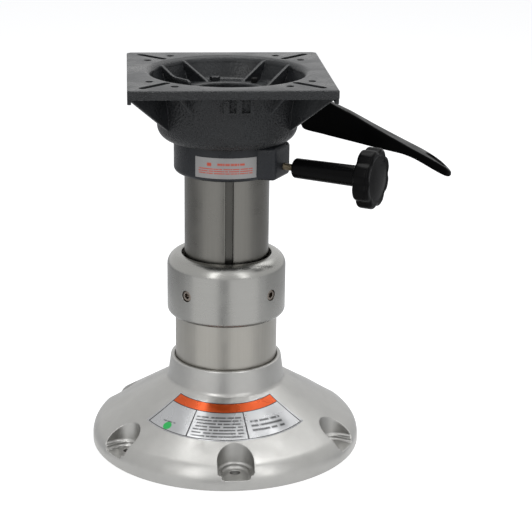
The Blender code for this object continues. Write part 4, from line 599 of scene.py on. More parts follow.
@dataclass(frozen=True)
class Finish:
    """A surface and the marks that its making leaves. Mark sizes are in millimetres."""

    name: str
    colour: Colour
    edge_colour: Colour
    metallic: float
    roughness: float
    mark: Effect
    mark_size: float
    mark_depth: float
    tone_swing: float = 0.12
    roughness_swing: float = 0.08
    edge_round: float = 0.6
    edge_wear: float = 0.35
    smudge_size: float = 26.0
    specular: float = 0.5
    mark_contrast: float = 1.6
    smudge_contrast: float = 1.8
    smudge_share: float = 0.4

    def placed(self, sheet: NodeSheet, effect: Effect, size: float, contrast: float) -> Node:
        """Place a shared effect with this finish's own values."""
        tree = SHELF.group(effect)
        return sheet.add("ShaderNodeGroup", {"Size": size, "Contrast": contrast}, node_tree=tree)

    def shade(self, factor: float) -> Colour:
        """Return the finish's colour made lighter or darker by a factor."""
        return tuple(min(channel * factor, 1.0) for channel in self.colour)

    def mark_height(self, sheet: NodeSheet, mark: Node) -> Socket:
        """Return the height of the placed making marks."""
        return mark.outputs["Height"]

    def surface_colour(self, sheet: NodeSheet, mark: Node, smudge: Node) -> Socket:
        """Return the colour under the edge wear.

        Args:
            sheet: the material's nodes.
            mark: the placed effect of the making marks.
            smudge: the placed effect of the slow patches.

        Returns:
            The colour, lighter and darker with the marks and patches.
        """
        marks = sheet.product(mark.outputs["Tone"], 1.0 - self.smudge_share)
        tone = sheet.math("MULTIPLY_ADD", smudge.outputs["Tone"], self.smudge_share, marks)
        return sheet.mix(tone, self.shade(1.0 - self.tone_swing), self.shade(1.0 + self.tone_swing))

    def material(self) -> bpy.types.Material:
        """Return this finish's material, built at its first use."""
        known = bpy.data.materials.get(self.name)
        if known is not None:
            return known
        material, sheet = new_material(self.name)
        material.diffuse_color = (*self.colour, 1.0)
        mark = self.placed(sheet, self.mark, self.mark_size, self.mark_contrast)
        smudge = self.placed(sheet, Effect.SMUDGE, self.smudge_size, self.smudge_contrast)
        colour = self.surface_colour(sheet, mark, smudge)
        if self.edge_wear > 0.0:
            wear = self.placed(sheet, Effect.WEAR, self.edge_round, self.edge_wear)
            colour = sheet.mix(wear.outputs["Tone"], colour, self.edge_colour)
        swing = self.roughness_swing
        rough = sheet.ramp(smudge.outputs["Tone"], 0.2, 0.8, self.roughness - swing, self.roughness + swing)
        rounded = sheet.add("ShaderNodeBevel", {"Radius": self.edge_round * MM}, samples=BEVEL_SAMPLES)
        normal = sheet.bump(self.mark_height(sheet, mark), self.mark_depth * MM, rounded.outputs[0])
        shader = sheet.add("ShaderNodeBsdfPrincipled", {
            "Base Color": colour, "Roughness": rough, "Normal": normal,
            "Metallic": self.metallic, "Specular IOR Level": self.specular,
        })
        sheet.add("ShaderNodeOutputMaterial", {"Surface": shader.outputs[0]})
        return material


@dataclass(frozen=True)
class OutwardGrain(Finish):
    """A paint whose grain is coarse on faces that look outwards and finer on the others."""

    fine_share: float = 0.22

    def mark_height(self, sheet: NodeSheet, mark: Node) -> Socket:
        """Return the grain's height.

        Args:
            sheet: the material's nodes.
            mark: the placed effect of the grain.

        Returns:
            The height, lower where the face doesn't look away from the axis.
        """
        place = sheet.add("ShaderNodeTexCoord").outputs
        flat = sheet.vector("MULTIPLY", place["Object"], (1.0, 1.0, 0.0)).outputs[0]
        radial = sheet.vector("NORMALIZE", flat).outputs[0]
        facing = sheet.vector("DOT_PRODUCT", radial, place["Normal"]).outputs["Value"]
        return sheet.product(mark.outputs["Height"], sheet.ramp(facing, 0.05, 0.45, self.fine_share, 1.0))


@dataclass(frozen=True)
class GroovedFinish(Finish):
    """A tube's finish with painted shade in the key groove at its front, where the colour is darker."""

    groove_half: float = 3.35
    groove_soft: float = 0.25
    groove_depth: float = 0.5
    # How dark the painted shade in the groove is, as a share of the tube's colour.
    groove_painted_shade: float = 0.50

    def surface_colour(self, sheet: NodeSheet, mark: Node, smudge: Node) -> Socket:
        """Return the tube's colour.

        Args:
            sheet: the material's nodes.
            mark: the placed effect of the drawn lines.
            smudge: the placed effect of the slow patches.

        Returns:
            The colour, darkened in the groove as painted shade.
        """
        plain = super().surface_colour(sheet, mark, smudge)
        across, forward, _ = sheet.split(sheet.place())
        inside = sheet.between(across, -self.groove_half, self.groove_half, self.groove_soft)
        rim = reach_of("inner_tube") / MM
        sunk = sheet.ramp(sheet.diagonal(across, forward), rim, rim - self.groove_depth)
        # Painted shade: the groove at the front is darkened in colour.
        mask = sheet.product(inside, sheet.ramp(forward, 0.0, -1.0), sunk)
        return sheet.mix(mask, plain, self.shade(self.groove_painted_shade))


@dataclass(frozen=True)
class LabelPrint(Finish):
    """A printed sheet, its print drawn over two maps: its own shares, and azimuth with radius."""

    ink: Colour = (0.02, 0.02, 0.022)
    band: Colour = (0.62, 0.09, 0.015)

    def coordinates(self, sheet: NodeSheet, name: str) -> tuple[Socket, ...]:
        """Return the two coordinates of one of the sheet's maps."""
        return sheet.split(sheet.add("ShaderNodeUVMap", uv_map=name).outputs[0])[:2]

    def rows(self, sheet: NodeSheet, across: Socket, up: Socket, box: Box, count: int) -> Socket:
        """Return a mask of short ruled rows, broken along their length.

        Args:
            sheet: the material's nodes.
            across: the coordinate along the rows.
            up: the coordinate over the rows.
            box: first and last place across, then up.
            count: how many rows fill the box.

        Returns:
            The mask.
        """
        share = sheet.ramp(up, *box[2:], 0.0, float(count))
        stripe = sheet.between(sheet.math("FRACT", share), 0.28, 0.72, 0.16)
        words = sheet.noise(sheet.joined(across, sheet.math("FLOOR", share)), 34.0, 1.0)
        return sheet.product(sheet.inside(across, up, box, 0.004), stripe, sheet.ramp(words, 0.38, 0.46))

    def surface_colour(self, sheet: NodeSheet, mark: Node, smudge: Node) -> Socket:
        """Return the sheet's ground with its print."""
        return self.printed(sheet, super().surface_colour(sheet, mark, smudge))

    def printed(self, sheet: NodeSheet, ground: Socket) -> Socket:
        """Return the ground with the print over it; a plain sheet has none."""
        return ground


@dataclass(frozen=True)
class BaseLabelPrint(LabelPrint):
    """The base label: a coloured band at its inner edge, thin frames, rows and a round spot.

    Azimuths are in hundreds of degrees and radii in hundreds of millimetres.
    """

    spot: Colour = (0.03, 0.42, 0.10)
    spot_place: Point = (-1.296, 0.845)
    spot_radius: float = 0.039
    slope_stretch: float = 1.18
    frame_inset: float = 0.028
    frame_reach: float = 0.008
    side_inset: float = 0.0168
    side_reach: float = 0.0044
    rim_soft: float = 0.001
    band_depth: float = 0.265
    thin: float = 0.0040
    fade: float = 0.0018
    dividers: tuple[float, float] = (-1.155, -0.808)
    divider_half: float = 0.0042
    cell_start: float = -1.55
    cell_line: Point = (-0.094, 0.6633)
    row_ink: float = 0.92
    blocks: tuple[tuple[Box, int], ...] = (
        ((-1.135, -0.828, 0.700, 0.890), 7), ((-0.775, -0.560, 0.735, 0.850), 3),
        ((-1.345, -1.255, 0.800, 0.818), 1),
    )

    def line(self, sheet: NodeSheet, value: Socket, place: float, half: float) -> Socket:
        """Return a mask of a thin line where a coordinate has a value."""
        return sheet.between(value, place - half, place + half, self.fade)

    def frames(self, sheet: NodeSheet, across: Socket, out: Socket, azimuth: Socket,
               radius: Socket) -> Socket:
        """Return a mask of the frames and dividers.

        Args:
            sheet: the material's nodes.
            across: the share across the foil.
            out: the share from its inner edge outwards.
            azimuth: the azimuth on the base.
            radius: the radius on the base.

        Returns:
            The mask.
        """
        side, inset = self.side_inset, self.frame_inset
        edges, half = (inset, self.band_depth, 1.0 - inset), 2.4 * self.thin
        lines = [self.line(sheet, out, edge, half) for edge in edges]
        lines += [self.line(sheet, across, edge, self.thin) for edge in (side, 1.0 - side)]
        below = sheet.between(out, self.band_depth, 1.0 - inset, self.fade)
        lines += [sheet.product(self.line(sheet, azimuth, place, self.divider_half), below)
                  for place in self.dividers]
        cell = sheet.between(azimuth, self.cell_start, self.dividers[0], self.rim_soft)
        fall, level = self.cell_line
        slope = sheet.math("MULTIPLY_ADD", azimuth, fall, sheet.math("SUBTRACT", radius, level))
        lines.append(sheet.product(self.line(sheet, slope, 0.0, self.thin), cell))
        near, low = side - self.side_reach, inset - self.frame_reach
        whole = sheet.inside(across, out, (near, 1.0 - near, low, 1.0 - low), self.rim_soft)
        return sheet.product(sheet.union(*lines), whole)

    def disc(self, sheet: NodeSheet, azimuth: Socket, radius: Socket) -> Socket:
        """Return a mask of the round spot.

        Args:
            sheet: the material's nodes.
            azimuth: the azimuth on the base.
            radius: the radius on the base.

        Returns:
            The mask.
        """
        spot_azimuth, spot_radius = self.spot_place
        off = sheet.math("SUBTRACT", azimuth, spot_azimuth)
        turn = sheet.product(off, math.radians(MAP_SPAN * spot_radius))
        rise = sheet.product(sheet.math("SUBTRACT", radius, spot_radius), self.slope_stretch)
        return sheet.ramp(sheet.diagonal(turn, rise), self.spot_radius + 0.002, self.spot_radius - 0.002)

    def printed(self, sheet: NodeSheet, ground: Socket) -> Socket:
        """Return the printed foil.

        Args:
            sheet: the material's nodes.
            ground: the foil's own colour.

        Returns:
            The ground with its band, its frames, its rows and its spot.
        """
        across, out = self.coordinates(sheet, "sheet")
        azimuth, radius = self.coordinates(sheet, "place")
        box = (self.side_inset, 1.0 - self.side_inset, self.frame_inset, self.band_depth)
        colour = sheet.mix(sheet.inside(across, out, box, self.fade), ground, self.band)
        rows = sheet.union(*(self.rows(sheet, azimuth, radius, box, count) for box, count in self.blocks))
        ink = sheet.union(self.frames(sheet, across, out, azimuth, radius), sheet.product(rows, self.row_ink))
        return sheet.mix(self.disc(sheet, azimuth, radius), sheet.mix(ink, colour, self.ink), self.spot)


@dataclass(frozen=True)
class HubLabelPrint(LabelPrint):
    """The hub label: a pale film with a small mark, a bar and thin rows in one colour."""

    mark_box: Box = (0.205, 0.275, 0.60, 0.76)
    blocks: tuple[tuple[Box, int], ...] = (((0.37, 0.80, 0.58, 0.80), 1), ((0.06, 0.93, 0.20, 0.52), 3))

    def printed(self, sheet: NodeSheet, ground: Socket) -> Socket:
        """Return the printed film.

        Args:
            sheet: the material's nodes.
            ground: the film's own colour.

        Returns:
            The ground with its mark, its bar and its rows.
        """
        across, up = self.coordinates(sheet, "sheet")
        left, right, low, high = self.mark_box
        mark = sheet.product(sheet.between(across, left, right, 0.006), sheet.between(up, low, high, 0.03))
        rows = [self.rows(sheet, across, up, box, count) for box, count in self.blocks]
        return sheet.mix(sheet.union(mark, *rows), ground, self.band)


CAST_SILVER = Finish(
    "satin cast aluminium", (0.37, 0.367, 0.355), (0.60, 0.60, 0.58), 1.0, 0.36, Effect.GRAIN, 0.9, 0.05,
    tone_swing=0.10, edge_wear=0.25, edge_round=1.5,
)
COLLAR_SILVER = Finish(
    "satin turned aluminium", (0.30, 0.298, 0.284), (0.6, 0.6, 0.58), 1.0, 0.27, Effect.TURNED, 0.35,
    0.004, tone_swing=0.08, roughness_swing=0.04, edge_wear=0.2, edge_round=0.5,
)
TUBE_SILVER = Finish(
    "drawn aluminium", (0.32, 0.31, 0.285), (0.5, 0.49, 0.46), 1.0, 0.36, Effect.DRAWN, 0.5, 0.006,
    tone_swing=0.12, edge_wear=0.1, edge_round=0.4,
)
# Painted shade: the post's aluminium gets about half the fixed tube's colour, for the shade under the seat
# plate and the dark bowl above it.
POST_SILVER = GroovedFinish(
    "post extrusion with painted shade", (0.155, 0.151, 0.139), (0.30, 0.29, 0.27), 1.0, 0.30, Effect.DRAWN, 0.4, 0.006,
    tone_swing=0.13, edge_wear=0.12, edge_round=0.4,
)
# Painted shade: a dark copy of aluminium for the post's head, washer and snap ring, which sit in shadow in
# the hub's well.
HEAD_DARK = Finish(
    "head aluminium with painted shade", (0.035, 0.035, 0.036), (0.1, 0.1, 0.1), 0.6, 0.40, Effect.TURNED, 0.3, 0.01,
)
MOUNT_PAINT = OutwardGrain(
    "hammered grey paint", (0.0150, 0.0162, 0.0175), (0.07, 0.075, 0.08), 0.0, 0.32, Effect.HAMMER, 1.7,
    0.85, tone_swing=0.75, edge_wear=0.5, edge_round=0.9, specular=0.26,
)
HUB_PAINT = Finish(
    "dark grey paint", (0.0170, 0.0185, 0.0215), (0.06, 0.065, 0.07), 0.0, 0.32, Effect.HAMMER, 1.2, 0.15,
    tone_swing=0.40, edge_wear=0.4, edge_round=0.9, specular=0.22,
)
LEVER_BLACK = Finish(
    "black moulding", (0.0012, 0.0012, 0.0013), (0.006, 0.006, 0.006), 0.0, 0.33, Effect.MOULDED, 0.35,
    0.02, tone_swing=0.25, edge_wear=0.25, edge_round=0.5, specular=0.016,
)
KNOB_BLACK = Finish(
    "black knob moulding", (0.0022, 0.0022, 0.0024), (0.009, 0.009, 0.009), 0.0, 0.30, Effect.MOULDED,
    0.30, 0.012, tone_swing=0.25, edge_wear=0.25, edge_round=0.6, specular=0.05,
)
NYLON = Finish(
    "natural nylon", (0.55, 0.53, 0.48), (0.6, 0.6, 0.55), 0.0, 0.5, Effect.TURNED, 0.4, 0.01,
)
ZINC = Finish(
    "bright zinc plate", (0.40, 0.40, 0.385), (0.6, 0.6, 0.58), 1.0, 0.28, Effect.TURNED, 0.3, 0.008,
)
# Its strong, near-white edge wear paints the cup rim bright: partly worn steel, partly a painted highlight.
SCREW_STEEL = Finish(
    "oiled steel", (0.21, 0.18, 0.155), (0.75, 0.73, 0.70), 1.0, 0.24, Effect.GRAIN, 0.4, 0.02,
    tone_swing=0.3, edge_wear=0.9, edge_round=0.5, smudge_size=2.5,
)
STUD_ZINC = Finish(
    "yellow zinc plate", (0.115, 0.095, 0.065), (0.35, 0.31, 0.22), 1.0, 0.32, Effect.GRAIN, 0.5, 0.01,
)
GAS_BLACK = Finish(
    "black spring paint", (0.02, 0.02, 0.022), (0.06, 0.06, 0.06), 0.1, 0.4, Effect.GRAIN, 0.6, 0.01,
)
PLUG_BLACK = Finish(
    "black rubber", (0.004, 0.004, 0.004), (0.02, 0.02, 0.02), 0.0, 0.65, Effect.MOULDED, 0.4, 0.02,
    specular=0.1,
)
BASE_LABEL = BaseLabelPrint(
    "printed foil", (0.42, 0.425, 0.43), (0.6, 0.6, 0.6), 0.6, 0.26, Effect.GRAIN, 3.0, 0.02,
    tone_swing=0.06, edge_wear=0.0, edge_round=0.1, band=(0.55, 0.075, 0.010),
)
HUB_LABEL = HubLabelPrint(
    "printed film", (0.275, 0.27, 0.266), (0.5, 0.5, 0.5), 0.3, 0.38, Effect.GRAIN, 2.0, 0.03,
    tone_swing=0.08, edge_wear=0.0, edge_round=0.1, band=(0.46, 0.05, 0.02),
)


def hand_over(piece: Piece, node: str, finish: Finish) -> Piece:
    """Dress a piece, and let it stand for a CAD node on that node's body.

    Args:
        piece: the finished mesh, in place.
        node: the CAD node that it replaces.
        finish: its finish.

    Returns:
        The piece.
    """
    piece.name = f"{node}_piece"
    piece.data.materials.clear()
    piece.data.materials.append(finish.material())
    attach(piece, body_of_node(node))
    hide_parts(node)
    LOG.info("%s: %d faces, %s", piece.name, len(piece.data.polygons), finish.name)
    return piece


@dataclass
class BaseCasting:
    """The cone-shaped foot with the socket, the screw pockets and the ribbed underside."""

    radius: float = reach_of("base_casting")
    socket_top: float = top_of("base_casting")
    socket_bore: float = reach_of("outer_tube") + TOUCH
    socket_wall: float = 4.0 * MM
    socket_taper: float = 2.4 * MM
    lip_round: float = 1.5 * MM
    neck_round: float = 4.5 * MM
    rim_height: float = 5.0 * MM
    rim_round: float = 20.0 * MM
    slope: float = math.radians(32.0)
    wall: float = 6.5 * MM
    foot_width: float = 9.0 * MM
    floor: float = 6.0 * MM
    hole_count: int = 6
    hole_inset: float = 17.0 * MM
    hole_radius: float = 4.5 * MM
    hollow_start: float = 5.0 * MM
    rib_overlap: float = 2.0 * MM
    hole_phase: float = math.radians(-89.0)
    pocket_radius: float = 15.5 * MM
    pocket_shift: float = 6.0 * MM
    pocket_floor: float = 12.8 * MM
    pocket_fillet: float = 2.4 * MM
    step_radius: float = 12.2 * MM
    step_shift: float = 3.4 * MM
    step_floor: float = 9.3 * MM
    housing_wall: float = 4.0 * MM
    rib: float = 5.0 * MM
    foot_chamfer: float = 1.0 * MM
    hollow_shoulder: float = 4.0 * MM
    crown_reach: float = 8.0 * MM
    shoulder_drop: float = 2.0 * MM

    def cone_start(self) -> Point:
        """Return where the rim's round meets the cone."""
        return (self.radius - self.rim_round * (1.0 - math.sin(self.slope)),
                self.rim_height + self.rim_round * math.cos(self.slope))

    def cone_height(self, radius: float) -> float:
        """Return the height of the cone at a distance from the axis."""
        start_radius, start_height = self.cone_start()
        return start_height + (start_radius - radius) * math.tan(self.slope)

    def outer_profile(self) -> list[Point]:
        """Return the outer profile from the foot up to the socket's mouth."""
        socket = self.socket_bore + self.socket_wall
        tangent = 90.0 - math.degrees(self.slope)
        neck = socket + self.socket_taper + self.neck_round
        reach = self.neck_round * math.sin(self.slope)
        height = self.cone_height(neck - reach) + self.neck_round * math.cos(self.slope)
        points = [(self.radius - self.foot_chamfer, 0.0), (self.radius, self.foot_chamfer)]
        points += arc(self.radius - self.rim_round, self.rim_height, self.rim_round, 0.0, tangent, 18)
        points += arc(neck, height, self.neck_round, 180.0 + tangent, 180.0, 12)
        lip = self.lip_round
        points += arc(socket - lip, self.socket_top - lip, lip, 0.0, 90.0, 6)
        points += arc(self.socket_bore + lip, self.socket_top - lip, lip, 90.0, 180.0, 6)
        return points

    def surface_height(self, radius: float) -> float:
        """Return the height of the outer surface at a distance from the axis."""
        points = self.outer_profile()
        for (r0, z0), (r1, z1) in zip(points[2:], points[3:]):
            if r1 <= radius <= r0 and r0 - r1 > 1e-9:
                return z0 + (z1 - z0) * (r0 - radius) / (r0 - r1)
        return self.socket_top

    def hole_angles(self) -> list[float]:
        """Return the azimuths of the deck screw holes."""
        return full_turn(self.hole_count, self.hole_phase)

    def u_outline(self, angle: float, shift: float, radius: float) -> list[Point]:
        """Return a U that is round at its back and opens outwards.

        Args:
            angle: the azimuth that it faces.
            shift: how far outside the hole its round's centre lies.
            radius: its half width.

        Returns:
            The flat outline.
        """
        reach = self.radius + self.rim_round
        back = arc(self.radius - self.hole_inset + shift, 0.0, radius, 90.0, 270.0, 24)
        return swung([(reach, -radius), (reach, radius)] + back, angle)

    def u_cutter(self, angle: float, shift: float, radius: float, floor: float) -> Piece:
        """Return a U-shaped cutter with a rounded foot.

        Args:
            angle: the azimuth that it faces.
            shift: how far outside the hole its round's centre lies.
            radius: its half width.
            floor: the height of its foot.

        Returns:
            The cutter.
        """
        fillet = self.pocket_fillet
        levels = arc(fillet, floor + fillet, fillet, 270.0, 180.0, 6) + [(0.0, self.socket_top)]
        outlines = [(self.u_outline(angle, shift, radius - inset), level) for inset, level in levels]
        rings = [[(x, y, level) for x, y in outline] for outline, level in outlines]
        return new_piece("pocket", loft(rings))

    def hollow(self) -> Piece:
        """Return the cutter for the underside, less the pocket housings and the ribs."""
        inner = self.socket_bore + self.socket_wall + self.socket_taper
        outer = self.radius - self.foot_width
        drop = self.wall / math.cos(self.slope)
        shoulder, crown = outer - self.hollow_shoulder, inner + self.crown_reach
        low = -self.hollow_start
        crown_height = self.cone_height(crown) - drop
        profile = [(inner, low), (outer, low), (outer, self.cone_height(outer) - drop - self.shoulder_drop)]
        profile += [(shoulder, self.cone_height(shoulder) - drop), (crown, crown_height)]
        profile.append((inner, crown_height))
        hollow = turned("hollow", profile)
        kept = []
        for angle in self.hole_angles():
            outline = self.u_outline(angle, self.pocket_shift, self.pocket_radius + self.housing_wall)
            kept.append(prism("housing", outline, 2.0 * low, self.socket_top))
            rib = oblong(inner - self.rib_overlap, self.radius, 2.0 * low, self.socket_top)
            kept.append(upright_slab("rib", rib, self.rib, angle + math.pi / self.hole_count, 0.0))
        carve_all(hollow, kept)
        return hollow

    def build(self) -> None:
        """Build the casting and hand it over."""
        profile = [(0.0, 0.0)] + self.outer_profile() + [(self.socket_bore, self.floor), (0.0, self.floor)]
        base = turned("base", profile)
        place, angles = self.radius - self.hole_inset, self.hole_angles()
        for shift, radius, floor in ((self.pocket_shift, self.pocket_radius, self.pocket_floor),
                                     (self.step_shift, self.step_radius, self.step_floor)):
            carve_all(base, [self.u_cutter(angle, shift, radius, floor) for angle in angles])
        low, high = -self.floor, self.socket_top
        ends = [(polar(place, angle, low), polar(place, angle, high)) for angle in angles]
        carve_all(base, [rod("hole", start, end, self.hole_radius) for start, end in ends])
        carve(base, self.hollow())
        hand_over(base, "base_casting", CAST_SILVER)


@dataclass
class FixedColumn:
    """The fixed tube, the collar on it and the collar's set screws."""

    tube_radius: float = reach_of("outer_tube")
    tube_wall: float = 3.18 * MM
    tube_bevel: float = 0.8 * MM
    collar_low: float = foot_of("guide_collar")
    collar_top: float = top_of("guide_collar")
    collar_radius: float = reach_of("guide_collar")
    shoulder: float = 11.0 * MM
    foot_round: float = 5.0 * MM
    mouth: float = reach_of("inner_tube") + 2.4 * MM
    mouth_round: float = 1.2 * MM
    lip: float = 9.4 * MM
    screw_height: float = 25.1 * MM
    screw_radius: float = 4.7 * MM
    screw_socket: float = 4.9 * MM
    screw_socket_depth: float = 4.0 * MM
    screw_recess: float = 0.7 * MM
    screw_rim: float = 0.9 * MM
    screw_count: int = 4
    screw_phase: float = math.radians(-135.0)

    def build_tube(self) -> None:
        """Build the fixed tube."""
        low, high = foot_of("outer_tube"), top_of("outer_tube")
        bore = self.tube_radius - self.tube_wall
        bevel = self.tube_bevel
        profile = [(bore + bevel, low), (self.tube_radius - bevel, low), (self.tube_radius, low + bevel)]
        profile += [(self.tube_radius, high - bevel), (self.tube_radius - bevel, high)]
        profile += [(bore + bevel, high), (bore, high - bevel), (bore, low + bevel)]
        hand_over(turned("tube", profile), "outer_tube", TUBE_SILVER)

    def screw_angles(self) -> list[float]:
        """Return the azimuths of the set screws."""
        return full_turn(self.screw_count, self.screw_phase)

    def build_collar(self) -> None:
        """Build the collar with its rounded shoulder, foot and mouth, and its screw holes."""
        bore = self.tube_radius + TOUCH
        shoulder_r = self.collar_radius - self.shoulder
        shoulder_z = self.collar_top - self.shoulder
        foot_r = self.collar_radius - self.foot_round
        foot_z = self.collar_low + self.foot_round
        profile = [(bore, self.collar_low)] + arc(foot_r, foot_z, self.foot_round, -90.0, 0.0, 10)
        profile += arc(shoulder_r, shoulder_z, self.shoulder, 0.0, 90.0, 18)
        mouth = self.mouth_round
        profile += arc(self.mouth + mouth, self.collar_top - mouth, mouth, 90.0, 180.0, 6)
        profile += [(self.mouth, self.collar_top - self.lip), (bore, self.collar_top - self.lip)]
        collar = turned("collar", profile)
        height = self.collar_low + self.screw_height
        near, far = self.tube_radius - 2.0 * PAST, self.collar_radius + 2.0 * PAST
        carve_all(collar, [rod("hole", polar(near, angle, height), polar(far, angle, height),
                               self.screw_radius + TOUCH) for angle in self.screw_angles()])
        hand_over(collar, "guide_collar", COLLAR_SILVER)

    def build_screws(self) -> None:
        """Build the set screws, each a cup point with a hexagon socket and a rolled rim."""
        height = self.collar_low + self.screw_height
        length = self.collar_radius - self.screw_recess - self.tube_radius - TOUCH
        rim = self.screw_rim
        for number, angle in enumerate(self.screw_angles(), start=1):
            profile = [(0.0, 0.0), (self.screw_radius, 0.0)]
            profile += arc(self.screw_radius - rim, length - rim, rim, 0.0, 90.0, 5)
            profile += [(0.0, length)]
            screw = turned("screw", profile, SMALL)
            start = (0.0, 0.0, length - self.screw_socket_depth)
            carve(screw, rod("socket", start, (0.0, 0.0, length + PAST), hexagon(self.screw_socket), 6))
            stand_on_lock_axis(screw, self.tube_radius + TOUCH, angle, height)
            hand_over(screw, f"set_screw_{number}", SCREW_STEEL)

    def build(self) -> None:
        """Build the tube, the collar and the screws."""
        self.build_tube()
        self.build_collar()
        self.build_screws()


@dataclass
class MovingPost:
    """The moving tube with its key groove."""

    radius: float = reach_of("inner_tube")
    wall: float = 3.0 * MM
    groove_width: float = 6.7 * MM
    groove_depth: float = 4.2 * MM
    groove_wall: float = 2.5 * MM
    groove_round: float = 0.7 * MM
    ring_steps: int = 175

    def outline(self, radius: float, half: float, key: float, rounding: float) -> list[Point]:
        """Return a ring with a rounded-edged groove at its front.

        Args:
            radius: the ring's radius.
            half: the groove's half width.
            key: the radius of the groove's floor.
            rounding: the round at the groove's mouth.

        Returns:
            The flat outline, starting right of the groove.
        """
        start = math.degrees(math.asin((half + rounding) / radius)) - 90.0
        points = arc(0.0, 0.0, radius, start, 180.0 - start, self.ring_steps)
        depth = math.sqrt(radius * radius - (half + rounding) ** 2)
        left = arc(-half - rounding, -depth + rounding, rounding, -90.0, 0.0, 5)
        floor = 0.5 * rounding
        left += [(-half, -key - floor), (-half + floor, -key)]
        right = [(-x, y) for x, y in reversed(left)]
        return points + left[1:] + right[:-1]

    def build(self) -> None:
        """Build the extrusion."""
        low, high = foot_of("inner_tube"), top_of("inner_tube")
        half = 0.5 * self.groove_width
        floor = self.radius - self.groove_depth
        bore = self.radius - self.wall
        outer = self.outline(self.radius, half, floor, self.groove_round)
        inner = self.outline(bore, half + self.groove_wall, floor - self.groove_wall, self.groove_round)
        rings = [[(x, y, height) for x, y in ring]
                 for ring, height in ((outer, low), (outer, high), (inner, high), (inner, low))]
        hand_over(new_piece("post", loft(rings, closed=True)), "inner_tube", POST_SILVER)


@dataclass
class SwivelHub:
    """The hub that turns on the post, with the boss of the lock screw."""

    radius: float = 45.5 * MM
    low: float = foot_of("swivel_hub")
    top: float = top_of("swivel_hub")
    bore: float = 38.8 * MM
    edge_round: float = 4.0 * MM
    well_radius: float = 30.3 * MM
    ledge_low: float = top_of("thrust_washer") + TOUCH
    ledge: float = 5.4 * MM
    lock_azimuth: float = math.radians(-31.0)
    lock_height: float = 9.6 * MM
    lock_proud: float = 8.5 * MM
    lock_half: float = 14.75 * MM
    lock_shift: float = 2.75 * MM
    lock_root: float = 22.7 * MM
    lock_gap: float = 0.4 * MM
    lock_round: float = 3.2 * MM
    pad_bore: float = 4.3 * MM
    bore_step: float = 6.0 * MM
    boss_top: float = foot_of("seat_mount") - 2.4 * MM - TOUCH
    slot_half: float = 6.4 * MM
    stud_hole: float = 3.3 * MM
    lip_radius: float = 24.4 * MM
    mouth_chamfer: float = 0.6 * MM
    root_share: float = 0.43

    def build_boss(self) -> Piece:
        """Build the boss of the lock screw, with rounded edges."""
        root = self.root_share * (self.bore + self.radius)
        face = self.radius + self.lock_proud
        near, far = self.lock_half + self.lock_shift, self.lock_half - self.lock_shift
        corners = [(root, -self.lock_root), (face, -near), (face, far), (root, self.lock_root)]
        outline = swung(corners, self.lock_azimuth)
        boss = soften(prism("boss", outline, self.low + self.lock_gap, self.boss_top), self.lock_round, 6)
        carve(boss, turned("core", oblong(0.0, self.bore + PAST, self.low, self.top)))
        return boss

    def build(self) -> None:
        """Build the hub."""
        edge, lip = self.edge_round, self.lip_radius
        ledge_top = self.ledge_low + self.ledge
        profile = [(self.bore + self.mouth_chamfer, self.low)]
        profile += arc(self.radius - edge, self.low + edge, edge, -90.0, 0.0, 10)
        profile += [(self.radius, self.top), (self.well_radius, self.top), (self.well_radius, ledge_top)]
        profile += [(lip, ledge_top), (lip, self.ledge_low), (self.bore, self.ledge_low)]
        hub = turned("hub", profile + [(self.bore, self.low + self.mouth_chamfer)])
        carve(hub, self.build_boss(), "UNION")
        face = self.radius + self.lock_proud
        radii = (0.8 * self.bore, face - self.bore_step, self.bore, face + 2.0 * PAST)
        height = self.low + self.lock_height
        start, step, near, far = (polar(radius, self.lock_azimuth, height) for radius in radii)
        drill(hub, start, step, self.pad_bore)
        slot = oblong(0.5 * self.well_radius, self.radius + PAST, -self.slot_half, self.slot_half)
        arm_slot = prism("arm_slot", slot, ledge_top + 1.0 * MM, self.top + PAST)
        carve_all(hub, [rod("stud_hole", near, far, self.stud_hole), arm_slot])
        hand_over(hub, "swivel_hub", HUB_PAINT)


